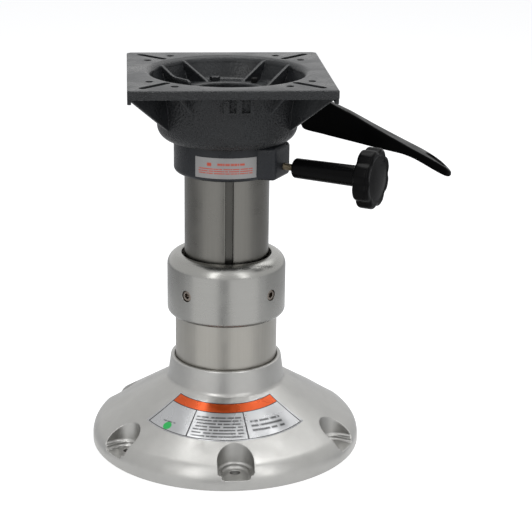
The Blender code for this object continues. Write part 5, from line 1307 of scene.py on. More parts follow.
@dataclass
class SeatMount:
    """The square plate with the bowl, the webs, the ribs, the ears and the front pad in one casting."""

    half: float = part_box("seat_mount")[1].x
    top: float = top_of("seat_mount")
    low: float = foot_of("seat_mount") - 2.4 * MM
    thickness: float = 7.4 * MM
    corner_cut: float = 2.5 * MM
    edge_round: float = 1.3 * MM
    lip_depth: float = 4.6 * MM
    lip_thickness: float = 2.9 * MM
    lip_inset: float = 4.0 * MM
    rim_radius: float = 70.5 * MM
    rim_round: float = 6.0 * MM
    wall_foot: float = 60.0 * MM
    outer_top: float = 66.5 * MM
    outer_radius: float = 59.6 * MM
    skirt_round: float = 12.5 * MM
    skirt_break: float = 26.0 * MM
    wall: float = 4.5 * MM
    hub_hole: float = 45.8 * MM
    floor_depth: float = 19.0 * MM
    floor_rise: float = 3.0 * MM
    rise_round: float = 2.2 * MM
    rise_width: float = 4.5 * MM
    floor_round: float = 4.2 * MM
    foot_chamfer: float = 0.5 * MM
    edge_steps: int = 4
    neck_round: float = 3.0 * MM
    neck_reach: float = 2.4 * MM
    skirt_lift: float = 0.8 * MM
    joint_height: float = 2.4 * MM
    ear_round: float = 0.6 * MM
    pad_steps: int = 6
    floor_thickness: float = 5.0 * MM
    floor_hole: float = 30.0 * MM
    web_offset: float = 14.0 * MM
    web_thickness: float = 3.0 * MM
    side_web_depth: float = 44.5 * MM
    front_web_depth: float = 27.5 * MM
    front_web_length: float = 19.5 * MM
    web_sink: float = 1.0 * MM
    rib_start: float = 34.0 * MM
    long_rib_reach: float = 4.5 * MM
    long_rib_drop: float = 10.0 * MM
    long_rib_steps: tuple[Point, ...] = ((21.0, 1.2), (17.0, 0.0), (3.0, -0.6), (0.6, -2.2))
    hole_radius: float = 3.3 * MM
    hole_near: float = 46.3 * MM
    hole_far: float = 66.3 * MM
    hole_depth: float = 8.9 * MM
    hole_facets: int = 48
    slot_inner: float = 71.5 * MM
    slot_outer: float = 105.0 * MM
    slot_width: float = 6.4 * MM
    pad_centre: float = 5.0 * MM
    pad_half: float = 12.2 * MM
    pad_face: float = 67.6 * MM
    pad_depth: float = 23.2 * MM
    pad_recess: float = 2.8 * MM
    recesses: tuple[Point, ...] = ((-7.6 * MM, -1.8 * MM), (2.8 * MM, 9.4 * MM))
    pivot_x: float = 72.5 * MM
    pivot_drop: float = 26.5 * MM
    ear_radius: float = 5.2 * MM
    ear_inner: float = 6.7 * MM
    ear_thickness: float = 4.0 * MM
    pin_hole: float = 3.1 * MM
    lever_half: float = 6.4 * MM
    web_round: float = 0.7 * MM

    def underside(self) -> float:
        """Return the height of the plate's underside."""
        return self.top - self.thickness

    def floor_under(self) -> float:
        """Return the height of the bowl floor's underside."""
        return self.top - self.floor_depth - self.floor_thickness

    def angles(self) -> list[float]:
        """Return the azimuths of the skin's points, the plate's cut corners included."""
        corner = math.atan2(self.half - self.corner_cut, self.half)
        angles = {round(angle, 9) for angle in full_turn(FINE)}
        for k in range(4):
            quarter = k * QUARTER
            angles -= {a for a in angles if abs(a - quarter - math.pi / 4.0) < math.radians(1.0)}
            angles |= {round(quarter + corner, 9), round(quarter + QUARTER - corner, 9)}
        return sorted(angles)

    def square(self, half: float, angles: Sequence[float], height: float) -> list[Vector]:
        """Return points on a square with cut corners."""
        points = []
        for angle in angles:
            c, s = abs(math.cos(angle)), abs(math.sin(angle))
            reach = min(half / max(c, s), (2.0 * half - self.corner_cut) / (c + s))
            points.append(polar(reach, angle, height))
        return points

    def skin(self) -> Piece:
        """Build the plate, rim, bowl and floor as one closed skin."""
        angles = self.angles()
        floor = self.top - self.floor_depth
        ring = floor + self.floor_rise
        hole, crown, foot = self.floor_hole, self.rise_round, self.floor_round
        profile = [(hole, self.floor_under())] + arc(hole + crown, ring - crown, crown, 180.0, 90.0, 5)
        profile.append((hole + self.rise_width, ring))
        profile += arc(self.wall_foot - foot, floor + foot, foot, -90.0, 0.0, 6)
        profile += arc(self.rim_radius, self.top - self.rim_round, self.rim_round, 180.0, 90.0, 12)
        rings = [[polar(r, a, z) for a in angles] for r, z in profile]
        edge, chamfer = self.edge_round, self.foot_chamfer
        for k in range(self.edge_steps + 1):
            turn = QUARTER * k / self.edge_steps
            half, height = self.half - edge * (1.0 - math.sin(turn)), self.top - edge * (1.0 - math.cos(turn))
            rings.append(self.square(half, angles, height))
        rings.append(self.square(self.half, angles, self.underside() + chamfer))
        rings.append(self.square(self.half - chamfer, angles, self.underside()))
        for r, z in self.outer_profile() + self.inside_profile():
            rings.append([polar(r, a, z) for a in angles])
        return new_piece("mount", loft(rings, closed=True))

    def outer_profile(self) -> list[Point]:
        """Return the bowl's outer profile from the plate's underside down to the hub."""
        under = self.underside()
        neck = self.neck_round
        points = arc(self.outer_top + self.neck_reach, under - neck, neck, 90.0, 170.0, 5)
        points += [(self.outer_top - 3.2 * MM, under - 10.0 * MM)]
        points += [(self.outer_radius + 1.5 * MM, under - 20.0 * MM)]
        points += [(self.outer_radius + 0.9 * MM, under - self.skirt_break)]
        skirt = self.skirt_round
        points += arc(self.outer_radius - skirt, self.skirt_top(), skirt, 0.0, -70.0, 20)
        points.append((self.hub_hole, self.low))
        return points

    def skirt_top(self) -> float:
        """Return the height at which the skirt starts to turn in."""
        return self.low + self.skirt_round - self.skirt_lift

    def skirt_radius(self, height: float) -> float:
        """Return the bowl's outer radius at a height in its skirt."""
        drop = min(max(self.skirt_top() - height, 0.0), self.skirt_round)
        return self.outer_radius - self.skirt_round + math.sqrt(self.skirt_round ** 2 - drop ** 2)

    def inside_profile(self) -> list[Point]:
        """Return the skirt's inner profile from the hub hole up to the floor."""
        inner = self.outer_radius - self.wall
        points = [(self.hub_hole, self.low + self.wall), (inner - 5.0 * MM, self.low + self.wall + 3.0 * MM)]
        points += [(inner, self.low + self.wall + 8.0 * MM), (inner + 1.2 * MM, self.floor_under())]
        return points

    def along(self, radius: float) -> float:
        """Return how far along a web's plane a distance from the axis lies."""
        return math.sqrt(radius * radius - self.web_offset * self.web_offset)

    def neck_middle(self) -> Point:
        """Return the middle of the bowl's wall just under the plate, as distance and height."""
        return self.outer_top - 1.6 * MM, self.underside() - 0.8 * MM

    def web_root(self, depth: float) -> list[Point]:
        """Return the edge of a web that lies inside the bowl's wall, from the plate down."""
        points = [(self.rim_radius - 2.0 * MM, self.underside() + 0.5 * self.thickness)]
        points += [self.neck_middle(), (self.wall_foot + 2.0 * MM, self.underside() - 7.6 * MM)]
        points += [(self.wall_foot + 0.6 * MM, self.floor_under())]
        foot = self.top - depth - self.web_sink
        points += [(self.skirt_radius(foot) - 0.25 * self.wall, foot)]
        return [(self.along(radius), height) for radius, height in points]

    def plank(self, outline: Sequence[Point], corner: int, side: float) -> Piece:
        """Stand a thin wall beside a corner's diagonal."""
        azimuth = (corner + 0.5) * QUARTER
        slab = upright_slab("wall", outline, self.web_thickness, azimuth, side * self.web_offset)
        return soften(slab, self.web_round)

    @staticmethod
    def corners() -> list[tuple[int, float]]:
        """Return each corner with each side of its diagonal."""
        return [(k, side) for k in range(4) for side in (-1.0, 1.0)]

    def webs(self) -> list[Piece]:
        """Build the eight webs under the plate, two along each corner's diagonal."""
        head = self.underside() + 0.5 * self.thickness
        side_end = (self.half - 0.5 * self.lip_thickness) * math.sqrt(2.0) - self.web_offset
        front_end = self.along(self.outer_radius) + self.front_web_length
        to_side = (self.side_web_depth, side_end, self.underside() - self.lip_depth + 0.3 * MM)
        to_front = (self.front_web_depth, front_end, self.underside() - 0.6 * MM)
        webs = []
        for k, side in self.corners():
            depth, end, end_z = to_side if (side > 0.0) == (k % 2 == 1) else to_front
            foot = self.along(self.skirt_radius(self.top - depth)) + self.web_sink
            outline = self.web_root(depth) + [(foot, self.top - depth), (end, end_z), (end, head)]
            webs.append(self.plank(outline, k, side))
        return webs

    def ribs(self) -> list[Piece]:
        """Build the eight ribs inside the bowl, two of them with a low level end."""
        foot = self.along(self.wall_foot + 1.6 * MM)
        head = self.along(self.rim_radius - 2.0 * MM)
        low = self.top - self.floor_depth - 0.5 * self.floor_thickness
        tip = self.top - self.floor_depth + self.floor_rise - 0.5 * MM
        root = [(foot, low), (foot, self.top - 9.0 * MM), (head, self.top - 5.0 * MM)]
        root += [(head, self.top - 1.7 * MM), (head - 5.3 * MM, self.top - 2.3 * MM)]
        plain = [(self.rib_start, low)] + root + [(self.rib_start, tip)]
        start, level = self.rib_start - self.long_rib_reach, self.top - self.long_rib_drop
        long = [(start + 1.0 * MM, low)] + root
        long += [(start + x * MM, level + z * MM) for x, z in self.long_rib_steps] + [(start, tip)]
        outlines = [long if k in (1, 3) and side > 0.0 else plain for k, side in self.corners()]
        return [self.plank(outline, k, side) for outline, (k, side) in zip(outlines, self.corners())]

    def ears(self) -> list[Piece]:
        """Build the two ears that carry the lever's pin."""
        pivot_z = self.top - self.pivot_drop
        radius = self.ear_radius
        outline = [(self.outer_top - 0.4 * MM, self.underside() + self.joint_height), self.neck_middle()]
        outline += [(self.wall_foot + 1.4 * MM, self.underside() - 8.4 * MM)]
        outline += [(self.wall_foot + 0.4 * MM, pivot_z)]
        outline += arc(self.pivot_x, pivot_z, radius, 180.0, 360.0, 16)
        outline += [(self.pivot_x + radius, self.underside() + self.joint_height)]
        offset = self.ear_inner + 0.5 * self.ear_thickness
        return [soften(upright_slab("ear", outline, self.ear_thickness, 0.0, side * offset), self.ear_round)
                for side in (-1.0, 1.0)]

    def pad(self) -> Piece:
        """Build the pad on the bowl's front, its back inside the bowl's wall."""
        west, east = self.pad_centre - self.pad_half, self.pad_centre + self.pad_half
        levels = ((self.wall_foot + 0.8 * MM, self.top - self.pad_depth),
                  (self.wall_foot + 1.6 * MM, self.underside() - 8.2 * MM), self.neck_middle(),
                  (self.outer_top - 0.6 * MM, self.underside() + self.joint_height))
        rings = []
        for radius, height in levels:
            ring = [(west, -self.pad_face, height), (east, -self.pad_face, height)]
            for k in range(self.pad_steps + 1):
                x = east + (west - east) * k / self.pad_steps
                ring.append((x, -math.sqrt(radius * radius - x * x), height))
            rings.append(ring)
        return new_piece("pad", loft(rings))

    def lips(self) -> list[Piece]:
        """Build the lips down the plate's two sides."""
        reach = self.half - self.lip_inset
        lips = []
        for side in (-1.0, 1.0):
            inner, outer = side * (self.half - self.lip_thickness - TOUCH), side * (self.half - 0.02 * MM)
            low, high = self.underside() - self.lip_depth, self.underside() + 0.5 * self.thickness
            lips.append(soften(prism("lip", oblong(inner, outer, -reach, reach), low, high), self.web_round))
        return lips

    def plate_cutters(self) -> list[Piece]:
        """Build the cutters of the seat holes and the diagonal slots."""
        low, high = self.top - self.hole_depth, self.top + PAST
        near, far = self.hole_near, self.hole_far
        signs = [(sx, sy) for sx in (-1.0, 1.0) for sy in (-1.0, 1.0)]
        places = [(sx * x, sy * y) for sx, sy in signs for x, y in ((near, far), (far, near))]
        radius, facets = self.hole_radius, self.hole_facets
        cutters = [rod("hole", (x, y, low), (x, y, high), radius, facets) for x, y in places]
        half = 0.5 * self.slot_width
        slot = arc(self.slot_outer - half, 0.0, half, -90.0, 90.0, 16)
        slot += arc(self.slot_inner + half, 0.0, half, 90.0, 270.0, 16)
        cutters += [prism("slot", swung(slot, (k + 0.5) * QUARTER), low, high) for k in range(4)]
        return cutters

    def lever_cutters(self) -> list[Piece]:
        """Build the cutters of the lever's way in, its pin and the pad's recesses."""
        near, far = self.outer_radius - 2.0 * self.wall, self.outer_radius + 2.0 * self.wall
        pivot_z = self.top - self.pivot_drop
        way = oblong(near, far, -self.lever_half, self.lever_half)
        cutters = [prism("way", way, pivot_z - 6.5 * MM, self.floor_under() - TOUCH)]
        reach = self.ear_inner + self.ear_thickness + 2.0 * PAST
        start, end = (self.pivot_x, -reach, pivot_z), (self.pivot_x, reach, pivot_z)
        cutters.append(rod("pin_hole", start, end, self.pin_hole))
        low, high = self.top - self.pad_depth + 1.6 * MM, self.underside() - 1.5 * MM
        front, back = -self.pad_face - PAST, self.pad_recess - self.pad_face
        for west, east in self.recesses:
            outline = oblong(self.pad_centre + west, self.pad_centre + east, front, back)
            cutters.append(prism("recess", outline, low, high))
        return cutters

    def build(self) -> None:
        """Build the casting."""
        mount = self.skin()
        for pieces in (self.webs(), self.ribs(), self.ears() + [self.pad()] + self.lips()):
            carve_all(mount, pieces, "UNION")
        for cutters in (self.plate_cutters(), self.lever_cutters()):
            carve_all(mount, cutters)
        hand_over(mount, "seat_mount", MOUNT_PAINT)


@dataclass
class FloorFasteners:
    """The hub bolts and the plug in the bowl's floor."""

    flats: float = 8.0 * MM
    head: float = 3.5 * MM
    shank: float = 2.4 * MM
    head_chamfer: float = 0.9 * MM
    plug_head: float = 4.0 * MM
    plug_radius: float = 2.8 * MM

    def build_bolt(self, node: str) -> None:
        """Build a hexagon bolt with a chamfered head."""
        low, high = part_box(node)
        middle = 0.5 * (low + high)
        seat = high.z - self.head
        x, y = middle.x, middle.y
        shank = rod("bolt", (x, y, low.z), (x, y, seat + 0.5 * MM), self.shank, TINY)
        crown, flat = hexagon(self.flats), hexagon(self.flats) - self.head_chamfer
        head = rod("head", (x, y, seat), (x, y, high.z), crown, 6)
        profile = [(0.0, -self.head), (crown, -self.head), (crown, -0.45 * self.head_chamfer)]
        cone = turned("cone", profile + [(flat, 0.0), (0.0, 0.0)], SMALL)
        cone.data.transform(Matrix.Translation((x, y, high.z)))
        carve(head, cone, "INTERSECT")
        carve(shank, head, "UNION")
        hand_over(shank, node, MOUNT_PAINT)

    def build_plug(self) -> None:
        """Build the plug with its domed head."""
        low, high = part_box("floor_plug")
        middle = 0.5 * (low + high)
        seat = high.z - self.plug_head
        dome = 0.45 * self.plug_radius
        stem = 0.65 * self.plug_radius
        profile = [(0.0, low.z), (stem, low.z), (stem, seat), (self.plug_radius, seat)]
        profile += arc(self.plug_radius - dome, high.z - dome, dome, 0.0, 90.0, 6) + [(0.0, high.z)]
        plug = turned("plug", profile, TINY)
        plug.data.transform(Matrix.Translation((middle.x, middle.y, 0.0)))
        hand_over(plug, "floor_plug", PLUG_BLACK)

    def build(self) -> None:
        """Build the bolts and the plug."""
        for number in (1, 2, 3):
            self.build_bolt(f"hub_bolt_{number}")
        self.build_plug()


@dataclass
class ReleaseLever:
    """The moulded lever: a channel that narrows to a thumb paddle, with an arm to the valve pin."""

    pivot_x: float = 72.5 * MM
    pivot_z: float = top_of("seat_mount") - 26.5 * MM
    top: float = top_of("seat_mount")
    root_half: float = 6.2 * MM
    paddle_half: float = 18.0 * MM
    wall: float = 2.2 * MM
    arm_half: float = 4.6 * MM
    arm_thickness: float = 5.0 * MM
    arm_low: float = top_of("valve_pin") + TOUCH
    well_radius: float = 30.3 * MM
    pin_radius: float = 2.9 * MM
    panel_start: float = 171.5 * MM
    panel_end: float = 189.0 * MM
    panel_drop: float = 72.8 * MM
    panel_fall: float = 11.5 * MM
    panel_dip: float = 0.9 * MM
    smooth_steps: int = 5
    crown_round: float = 1.8 * MM
    foot_round: float = 1.2 * MM
    arm_round: float = 0.7 * MM
    arm_tip: tuple[Point, ...] = ((-6.0 * MM, 2.6 * MM), (-4.0 * MM, 4.6 * MM))
    arm_reach: float = 4.0 * MM
    bore_play: float = 0.25 * MM
    pin_dome: float = 0.7 * MM
    pin_chamfer: float = 0.5 * MM
    clip_edge: float = 0.25 * MM
    pin_head: float = 1.9 * MM
    pin_head_radius: float = 4.4 * MM

    def stations(self) -> list[tuple[float, float, float, float]]:
        """Return the lever's stations: distance, half width, drop of its top and of its bottom in mm."""
        root, paddle = self.root_half / MM, self.paddle_half / MM
        return [(61.8, root, 29.5, 43.5), (63.6, root, 24.5, 48.2), (66.3, root, 20.0, 50.0),
                (71.5, root, 18.6, 51.6), (80.0, root, 22.9, 53.7), (92.0, root + 2.3, 29.4, 56.5),
                (107.0, root + 4.3, 37.0, 60.0), (128.0, root + 6.8, 49.1, 65.1),
                (148.5, paddle - 2.5, 60.4, 69.7), (160.0, paddle - 1.0, 66.6, 74.3),
                (172.5, paddle, 73.3, 81.4), (181.0, paddle - 1.0, 78.3, 86.4),
                (187.5, paddle - 4.5, 82.6, 90.0), (191.5, paddle - 9.0, 85.9, 91.4),
                (193.6, paddle - 13.0, 88.0, 91.2)]

    def smoothed(self) -> list[tuple[float, ...]]:
        """Return the stations with smooth ones between them."""
        rows = self.stations()
        padded = [rows[0]] + rows + [rows[-1]]
        result = []
        for k in range(len(rows) - 1):
            window = padded[k:k + 4]
            for step in range(self.smooth_steps):
                share = step / self.smooth_steps
                result.append(tuple(self.curve(values, share) for values in zip(*window)))
        result.append(tuple(rows[-1]))
        return result

    @staticmethod
    def curve(values: Sequence[float], share: float) -> float:
        """Return a value on a gentle curve between the second and third of four values."""
        before, start, end, after = values
        slope_in, slope_out = CURVE_PULL * (end - before), CURVE_PULL * (after - start)
        square, cube = share * share, share ** 3
        return ((2.0 * cube - 3.0 * square + 1.0) * start + (cube - 2.0 * square + share) * slope_in
                + (3.0 * square - 2.0 * cube) * end + (cube - square) * slope_out)

    def section(self, x: float, half: float, top: float, bottom: float) -> list[Point]:
        """Return one rounded cross-section of the lever, in a plane across X."""
        height = top - bottom
        crown = min(self.crown_round, 0.45 * height, 0.6 * half)
        foot = min(self.foot_round, 0.3 * height)
        corners = ((half - crown, top - crown, crown, 0.0), (crown - half, top - crown, crown, 90.0),
                   (foot - half, bottom + foot, foot, 180.0), (half - foot, bottom + foot, foot, 270.0))
        points = []
        for centre_y, centre_z, radius, first in corners:
            points += [(x, y, z) for y, z in arc(centre_y, centre_z, radius, first, first + 90.0, 6)]
        return points

    def shell(self) -> Piece:
        """Build the lever's outer form, hollowed from below into a channel."""
        rings = [self.section(x * MM, half * MM, self.top - high * MM, self.top - low * MM)
                 for x, half, high, low in self.smoothed()]
        shell = new_piece("lever", loft(rings))
        cut = []
        for x, half, high, low in self.stations()[2:9]:
            inner = half * MM - self.wall
            ceiling, under = self.top - high * MM - 1.3 * self.wall, self.top - low * MM - 6.0 * MM
            cut.append([(x * MM, y, z) for y, z in oblong(inner, -inner, ceiling, under)])
        cut[0] = [(x + self.wall, y, z) for x, y, z in cut[0]]
        carve(shell, new_piece("channel", loft(cut)))
        return shell

    def arm(self) -> Piece:
        """Build the arm that lies over the valve pin."""
        foot = self.pivot_z - 0.5 * self.arm_thickness - 1.0 * MM
        plain = (0.0, self.well_radius, self.pivot_x + self.arm_reach)
        rings = []
        for x, half in self.arm_tip + tuple((x, self.arm_half) for x in plain):
            share = min(max((x - self.well_radius) / (self.pivot_x - self.well_radius), 0.0), 1.0)
            low = self.arm_low + (foot - self.arm_low) * share
            high = low + self.arm_thickness
            rings.append([(x, half, high), (x, -half, high), (x, -half, low), (x, half, low)])
        return soften(new_piece("arm", loft(rings)), self.arm_round)

    def panel(self) -> Piece:
        """Build the cutter for the shallow oval on the paddle's top."""
        start = Vector((self.panel_start, 0.0, self.top - self.panel_drop))
        end = Vector((self.panel_end, 0.0, self.top - self.panel_drop - self.panel_fall))
        along = (end - start).normalized()
        normal = Vector((-along.z, 0.0, along.x))
        centre, length = 0.5 * (start + end), 0.5 * (end - start).length
        rings = []
        reach = 0.66 * self.paddle_half
        for lift, share in ((-self.panel_dip, 0.86), (-0.45 * self.panel_dip, 0.96),
                            (0.3 * MM, 1.02), (4.0 * MM, 1.04)):
            rings.append([centre + along * (length * share * math.cos(a)) + normal * lift
                          + Vector((0.0, reach * share * math.sin(a), 0.0)) for a in full_turn(SMALL)])
        return new_piece("panel", loft(rings))

    def build_lever(self) -> None:
        """Build the lever."""
        lever = self.shell()
        carve(lever, self.arm(), "UNION")
        x, z, reach = self.pivot_x, self.pivot_z, 2.0 * self.root_half
        carve(lever, rod("bore", (x, -reach, z), (x, reach, z), self.pin_radius + self.bore_play))
        carve(lever, self.panel())
        hand_over(lever, "release_lever", LEVER_BLACK)

    def build_ring(self, node: str, profile: Sequence[Point]) -> None:
        """Turn a profile, lay it on the pivot's axis from a node's near end on, and hand it over."""
        piece = turned(node, profile, SMALL)
        place = Matrix.Translation((self.pivot_x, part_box(node)[0].y, self.pivot_z))
        piece.data.transform(place @ Matrix.Rotation(-QUARTER, 4, "X"))
        hand_over(piece, node, ZINC)

    def build_pin(self) -> None:
        """Build the pivot pin with its domed head, and its clip."""
        low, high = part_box("lever_pin")
        length, dome, chamfer = high.y - low.y, self.pin_dome, self.pin_chamfer
        profile = [(0.0, 0.0), (self.pin_head_radius - dome, 0.0), (self.pin_head_radius, dome)]
        profile += [(self.pin_head_radius, self.pin_head), (self.pin_radius, self.pin_head)]
        profile += [(self.pin_radius, length - chamfer), (self.pin_radius - chamfer, length), (0.0, length)]
        self.build_ring("lever_pin", profile)
        low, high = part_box("pin_clip")
        thickness, outer, inner = high.y - low.y, 0.5 * (high.z - low.z), self.pin_radius + TOUCH
        edge = self.clip_edge
        profile = [(inner, 0.0), (outer - edge, 0.0), (outer, edge), (outer, thickness - edge)]
        self.build_ring("pin_clip", profile + [(outer - edge, thickness), (inner, thickness)])

    def build(self) -> None:
        """Build the lever, its pin and its clip."""
        self.build_lever()
        self.build_pin()


@dataclass
class LockKnob:
    """The lobed knob with its long sleeve, and the threaded stud that it turns."""

    azimuth: float = math.radians(-31.0)
    height: float = foot_of("swivel_hub") + 9.6 * MM
    sleeve_start: float = 63.5 * MM
    sleeve_radius: float = 8.4 * MM
    sleeve_flare: float = 0.5 * MM
    sleeve_round: float = 2.4 * MM
    bore_depth: float = 30.0 * MM
    bore_chamfer: float = 0.4 * MM
    neck_round: float = 1.2 * MM
    back: float = 62.0 * MM
    thickness: float = 14.0 * MM
    radius: float = 25.4 * MM
    lobes: int = 8
    lobe_depth: float = 2.3 * MM
    lobe_power: float = 2.2
    edge_round: float = 3.0 * MM
    dome: float = 1.0 * MM
    face_dish: float = 0.8 * MM
    stud_start: float = 42.4 * MM
    stud_radius: float = 3.0 * MM
    thread_pitch: float = 1.0 * MM
    thread_depth: float = 0.5 * MM
    thread_steps: int = 8
    thread_run: float = 1.0 * MM

    def ring(self, radius: float, level: float, share: float = 1.0) -> list[Vector]:
        """Return a ring of the knob, with its lobes at a share of their depth."""
        points = []
        for angle in full_turn(FINE):
            wave = 0.5 - 0.5 * math.cos(self.lobes * angle)
            depth = share * self.lobe_depth * (1.0 - wave) ** self.lobe_power
            points.append(polar(radius - depth, angle, level))
        return points

    def build_knob(self) -> None:
        """Build the knob and its sleeve."""
        back, face = self.back, self.back + self.thickness
        bore = self.stud_radius + TOUCH
        neck = self.sleeve_radius + self.sleeve_flare
        rounding = self.sleeve_round
        chamfer, turn = self.bore_chamfer, self.neck_round
        plain = [(bore, self.bore_depth), (bore, chamfer), (bore + chamfer, 0.0)]
        plain += arc(self.sleeve_radius - rounding, rounding, rounding, -90.0, 0.0, 7)
        plain += [(neck, back - turn)] + arc(neck + turn, back - turn, turn, 180.0, 90.0, 4)
        rings = [self.ring(r, z, 0.0) for r, z in plain]
        edge = self.edge_round
        rim = arc(self.radius - edge, back + edge, edge, -90.0, 0.0, 7)
        rim += arc(self.radius - edge, face - edge, edge, 0.0, 90.0, 7)
        rings += [self.ring(r, z) for r, z in rim]
        rings.append(self.ring(0.80 * self.radius, face + 0.1 * MM, 0.35))
        rings += [self.ring(share * self.radius, face - 0.4 * self.face_dish, 0.0) for share in (0.76, 0.70)]
        for share in (0.5, 0.3, 0.12):
            rings.append(self.ring(share * self.radius, face + self.dome * (1.0 - share), 0.0))
        knob = new_piece("knob", loft(rings), 40.0)
        stand_on_lock_axis(knob, self.sleeve_start, self.azimuth, self.height)
        hand_over(knob, "lock_knob", KNOB_BLACK)

    def build_stud(self) -> None:
        """Build the stud with its thread as a helix."""
        length = self.sleeve_start + self.bore_depth - TOUCH - self.stud_start
        rings = []
        count = int(length / self.thread_pitch * self.thread_steps)
        for k in range(count + 1):
            level = length * k / count
            taper = min(level, length - level, self.thread_run) / self.thread_run
            ring = []
            for i, angle in enumerate(full_turn(TINY)):
                phase = (level / self.thread_pitch - i / TINY) % 1.0
                cut = self.thread_depth * (1.0 - abs(2.0 * phase - 1.0))
                depth = cut * taper + self.thread_depth * (1.0 - taper)
                ring.append(polar(self.stud_radius - depth, angle, level))
            rings.append(ring)
        stud = new_piece("stud", loft(rings), 60.0)
        stand_on_lock_axis(stud, self.stud_start, self.azimuth, self.height)
        hand_over(stud, "lock_stud", STUD_ZINC)

    def build(self) -> None:
        """Build the knob and the stud."""
        self.build_knob()
        self.build_stud()


@dataclass
class Labels:
    """The fan-shaped foil on the base and the film round the hub's front."""

    base: BaseCasting = field(default_factory=BaseCasting)
    base_centre: float = math.radians(-94.0)
    base_half_angle: float = math.radians(46.0)
    base_inner: float = 58.1 * MM
    base_outer: float = 91.4 * MM
    hub_centre: float = math.radians(-95.0)
    hub_half_angle: float = math.radians(33.8)
    hub_radius: float = 45.5 * MM
    hub_low: float = foot_of("hub_label")
    hub_high: float = top_of("hub_label")
    lift: float = 0.08 * MM
    thickness: float = 0.12 * MM
    inner_bow: float = 3.3 * MM
    outer_bow: float = 5.0 * MM
    flare: Point = (0.977, 0.141)

    def sheet(self, place: Callable[[float, float, float], Vector], columns: int, rows: int) -> Piece:
        """Build a thin sheet with two maps over it: its own shares, and azimuth with radius.

        Args:
            place: gives a point from the share across, the share up and the lift.
            columns: how many strips the sheet has across.
            rows: how many it has up.

        Returns:
            The sheet.
        """
        builder = bmesh.new()
        own = builder.loops.layers.uv.new("sheet")
        real = builder.loops.layers.uv.new("place")
        shares: dict[bmesh.types.BMVert, Point] = {}
        grids = []
        for lift in (self.lift, self.lift + self.thickness):
            grid = []
            for j in range(rows + 1):
                line = []
                for i in range(columns + 1):
                    vert = builder.verts.new(place(i / columns, j / rows, lift))
                    shares[vert] = (i / columns, j / rows)
                    line.append(vert)
                grid.append(line)
            grids.append(grid)
        low, high = grids
        for j in range(rows):
            for i in range(columns):
                builder.faces.new((high[j][i], high[j][i + 1], high[j + 1][i + 1], high[j + 1][i]))
                builder.faces.new((low[j + 1][i], low[j + 1][i + 1], low[j][i + 1], low[j][i]))
        rim = [(0, i) for i in range(columns)] + [(j, columns) for j in range(rows)]
        rim += [(rows, i) for i in range(columns, 0, -1)] + [(j, 0) for j in range(rows, 0, -1)]
        for (j, i), (n, m) in zip(rim, rim[1:] + rim[:1]):
            builder.faces.new((low[j][i], low[n][m], high[n][m], high[j][i]))
        for face in builder.faces:
            for corner in face.loops:
                corner[own].uv = shares[corner.vert]
                spot = corner.vert.co
                azimuth = math.degrees(math.atan2(spot.y, spot.x)) / MAP_SPAN
                corner[real].uv = (azimuth, math.hypot(spot.x, spot.y) / MM / MAP_SPAN)
        return new_piece("label", builder, 60.0)

    def base_place(self, across: float, out: float, lift: float) -> Vector:
        """Return a point of the base label."""
        turn = 2.0 * across - 1.0
        near = self.base_inner - self.inner_bow * turn * turn
        far = self.base_outer - self.outer_bow * turn * turn
        radius = near + (far - near) * out
        azimuth = self.base_centre + self.base_half_angle * turn * (self.flare[0] + self.flare[1] * out)
        return polar(radius, azimuth, self.base.surface_height(radius) + lift / math.cos(self.base.slope))

    def hub_place(self, across: float, up: float, lift: float) -> Vector:
        """Return a point of the hub label."""
        azimuth = self.hub_centre + self.hub_half_angle * (2.0 * across - 1.0)
        return polar(self.hub_radius + lift, azimuth, self.hub_low + (self.hub_high - self.hub_low) * up)

    def build(self) -> None:
        """Build both labels."""
        hand_over(self.sheet(self.base_place, 96, 24), "base_label", BASE_LABEL)
        hand_over(self.sheet(self.hub_place, 64, 4), "hub_label", HUB_LABEL)


@dataclass
class InnerWorks:
    """The pieces inside the column, which keep their CAD meshes and get a finish."""

    finishes: dict[str, Finish] = field(default_factory=lambda: {
        "upper_guide_bush": NYLON, "lower_guide_bush": NYLON, "swivel_bush": NYLON, "thrust_washer": NYLON,
        "brake_pad": NYLON, "gas_spring_rod": ZINC, "rod_nut": ZINC, "gas_spring_piston": GAS_BLACK,
        "gas_spring_body": GAS_BLACK, "gas_spring_gland": GAS_BLACK, "valve_pin": ZINC,
        "post_head": HEAD_DARK, "retaining_washer": HEAD_DARK, "snap_ring": HEAD_DARK,
    })

    def build(self) -> None:
        """Dress each kept CAD node."""
        for node, finish in self.finishes.items():
            piece = frame["nodes"][node]
            piece.data.materials.clear()
            piece.data.materials.append(finish.material())
            LOG.info("%s keeps its mesh, %s", node, finish.name)


@dataclass
class SoftBox:
    """A rectangular studio lamp that faces a point on the pedestal."""

    name: str
    place: tuple[float, float, float]
    size: tuple[float, float]
    power: float
    aim: tuple[float, float, float]

    def build(self) -> None:
        """Build the lamp."""
        lamp = bpy.data.lights.new(self.name, "AREA")
        lamp.shape = "RECTANGLE"
        lamp.size, lamp.size_y = self.size
        lamp.energy = self.power
        holder = bpy.data.objects.new(self.name, lamp)
        bpy.context.collection.objects.link(holder)
        holder.location = self.place
        holder.rotation_euler = (Vector(self.aim) - Vector(self.place)).to_track_quat("-Z", "Y").to_euler()


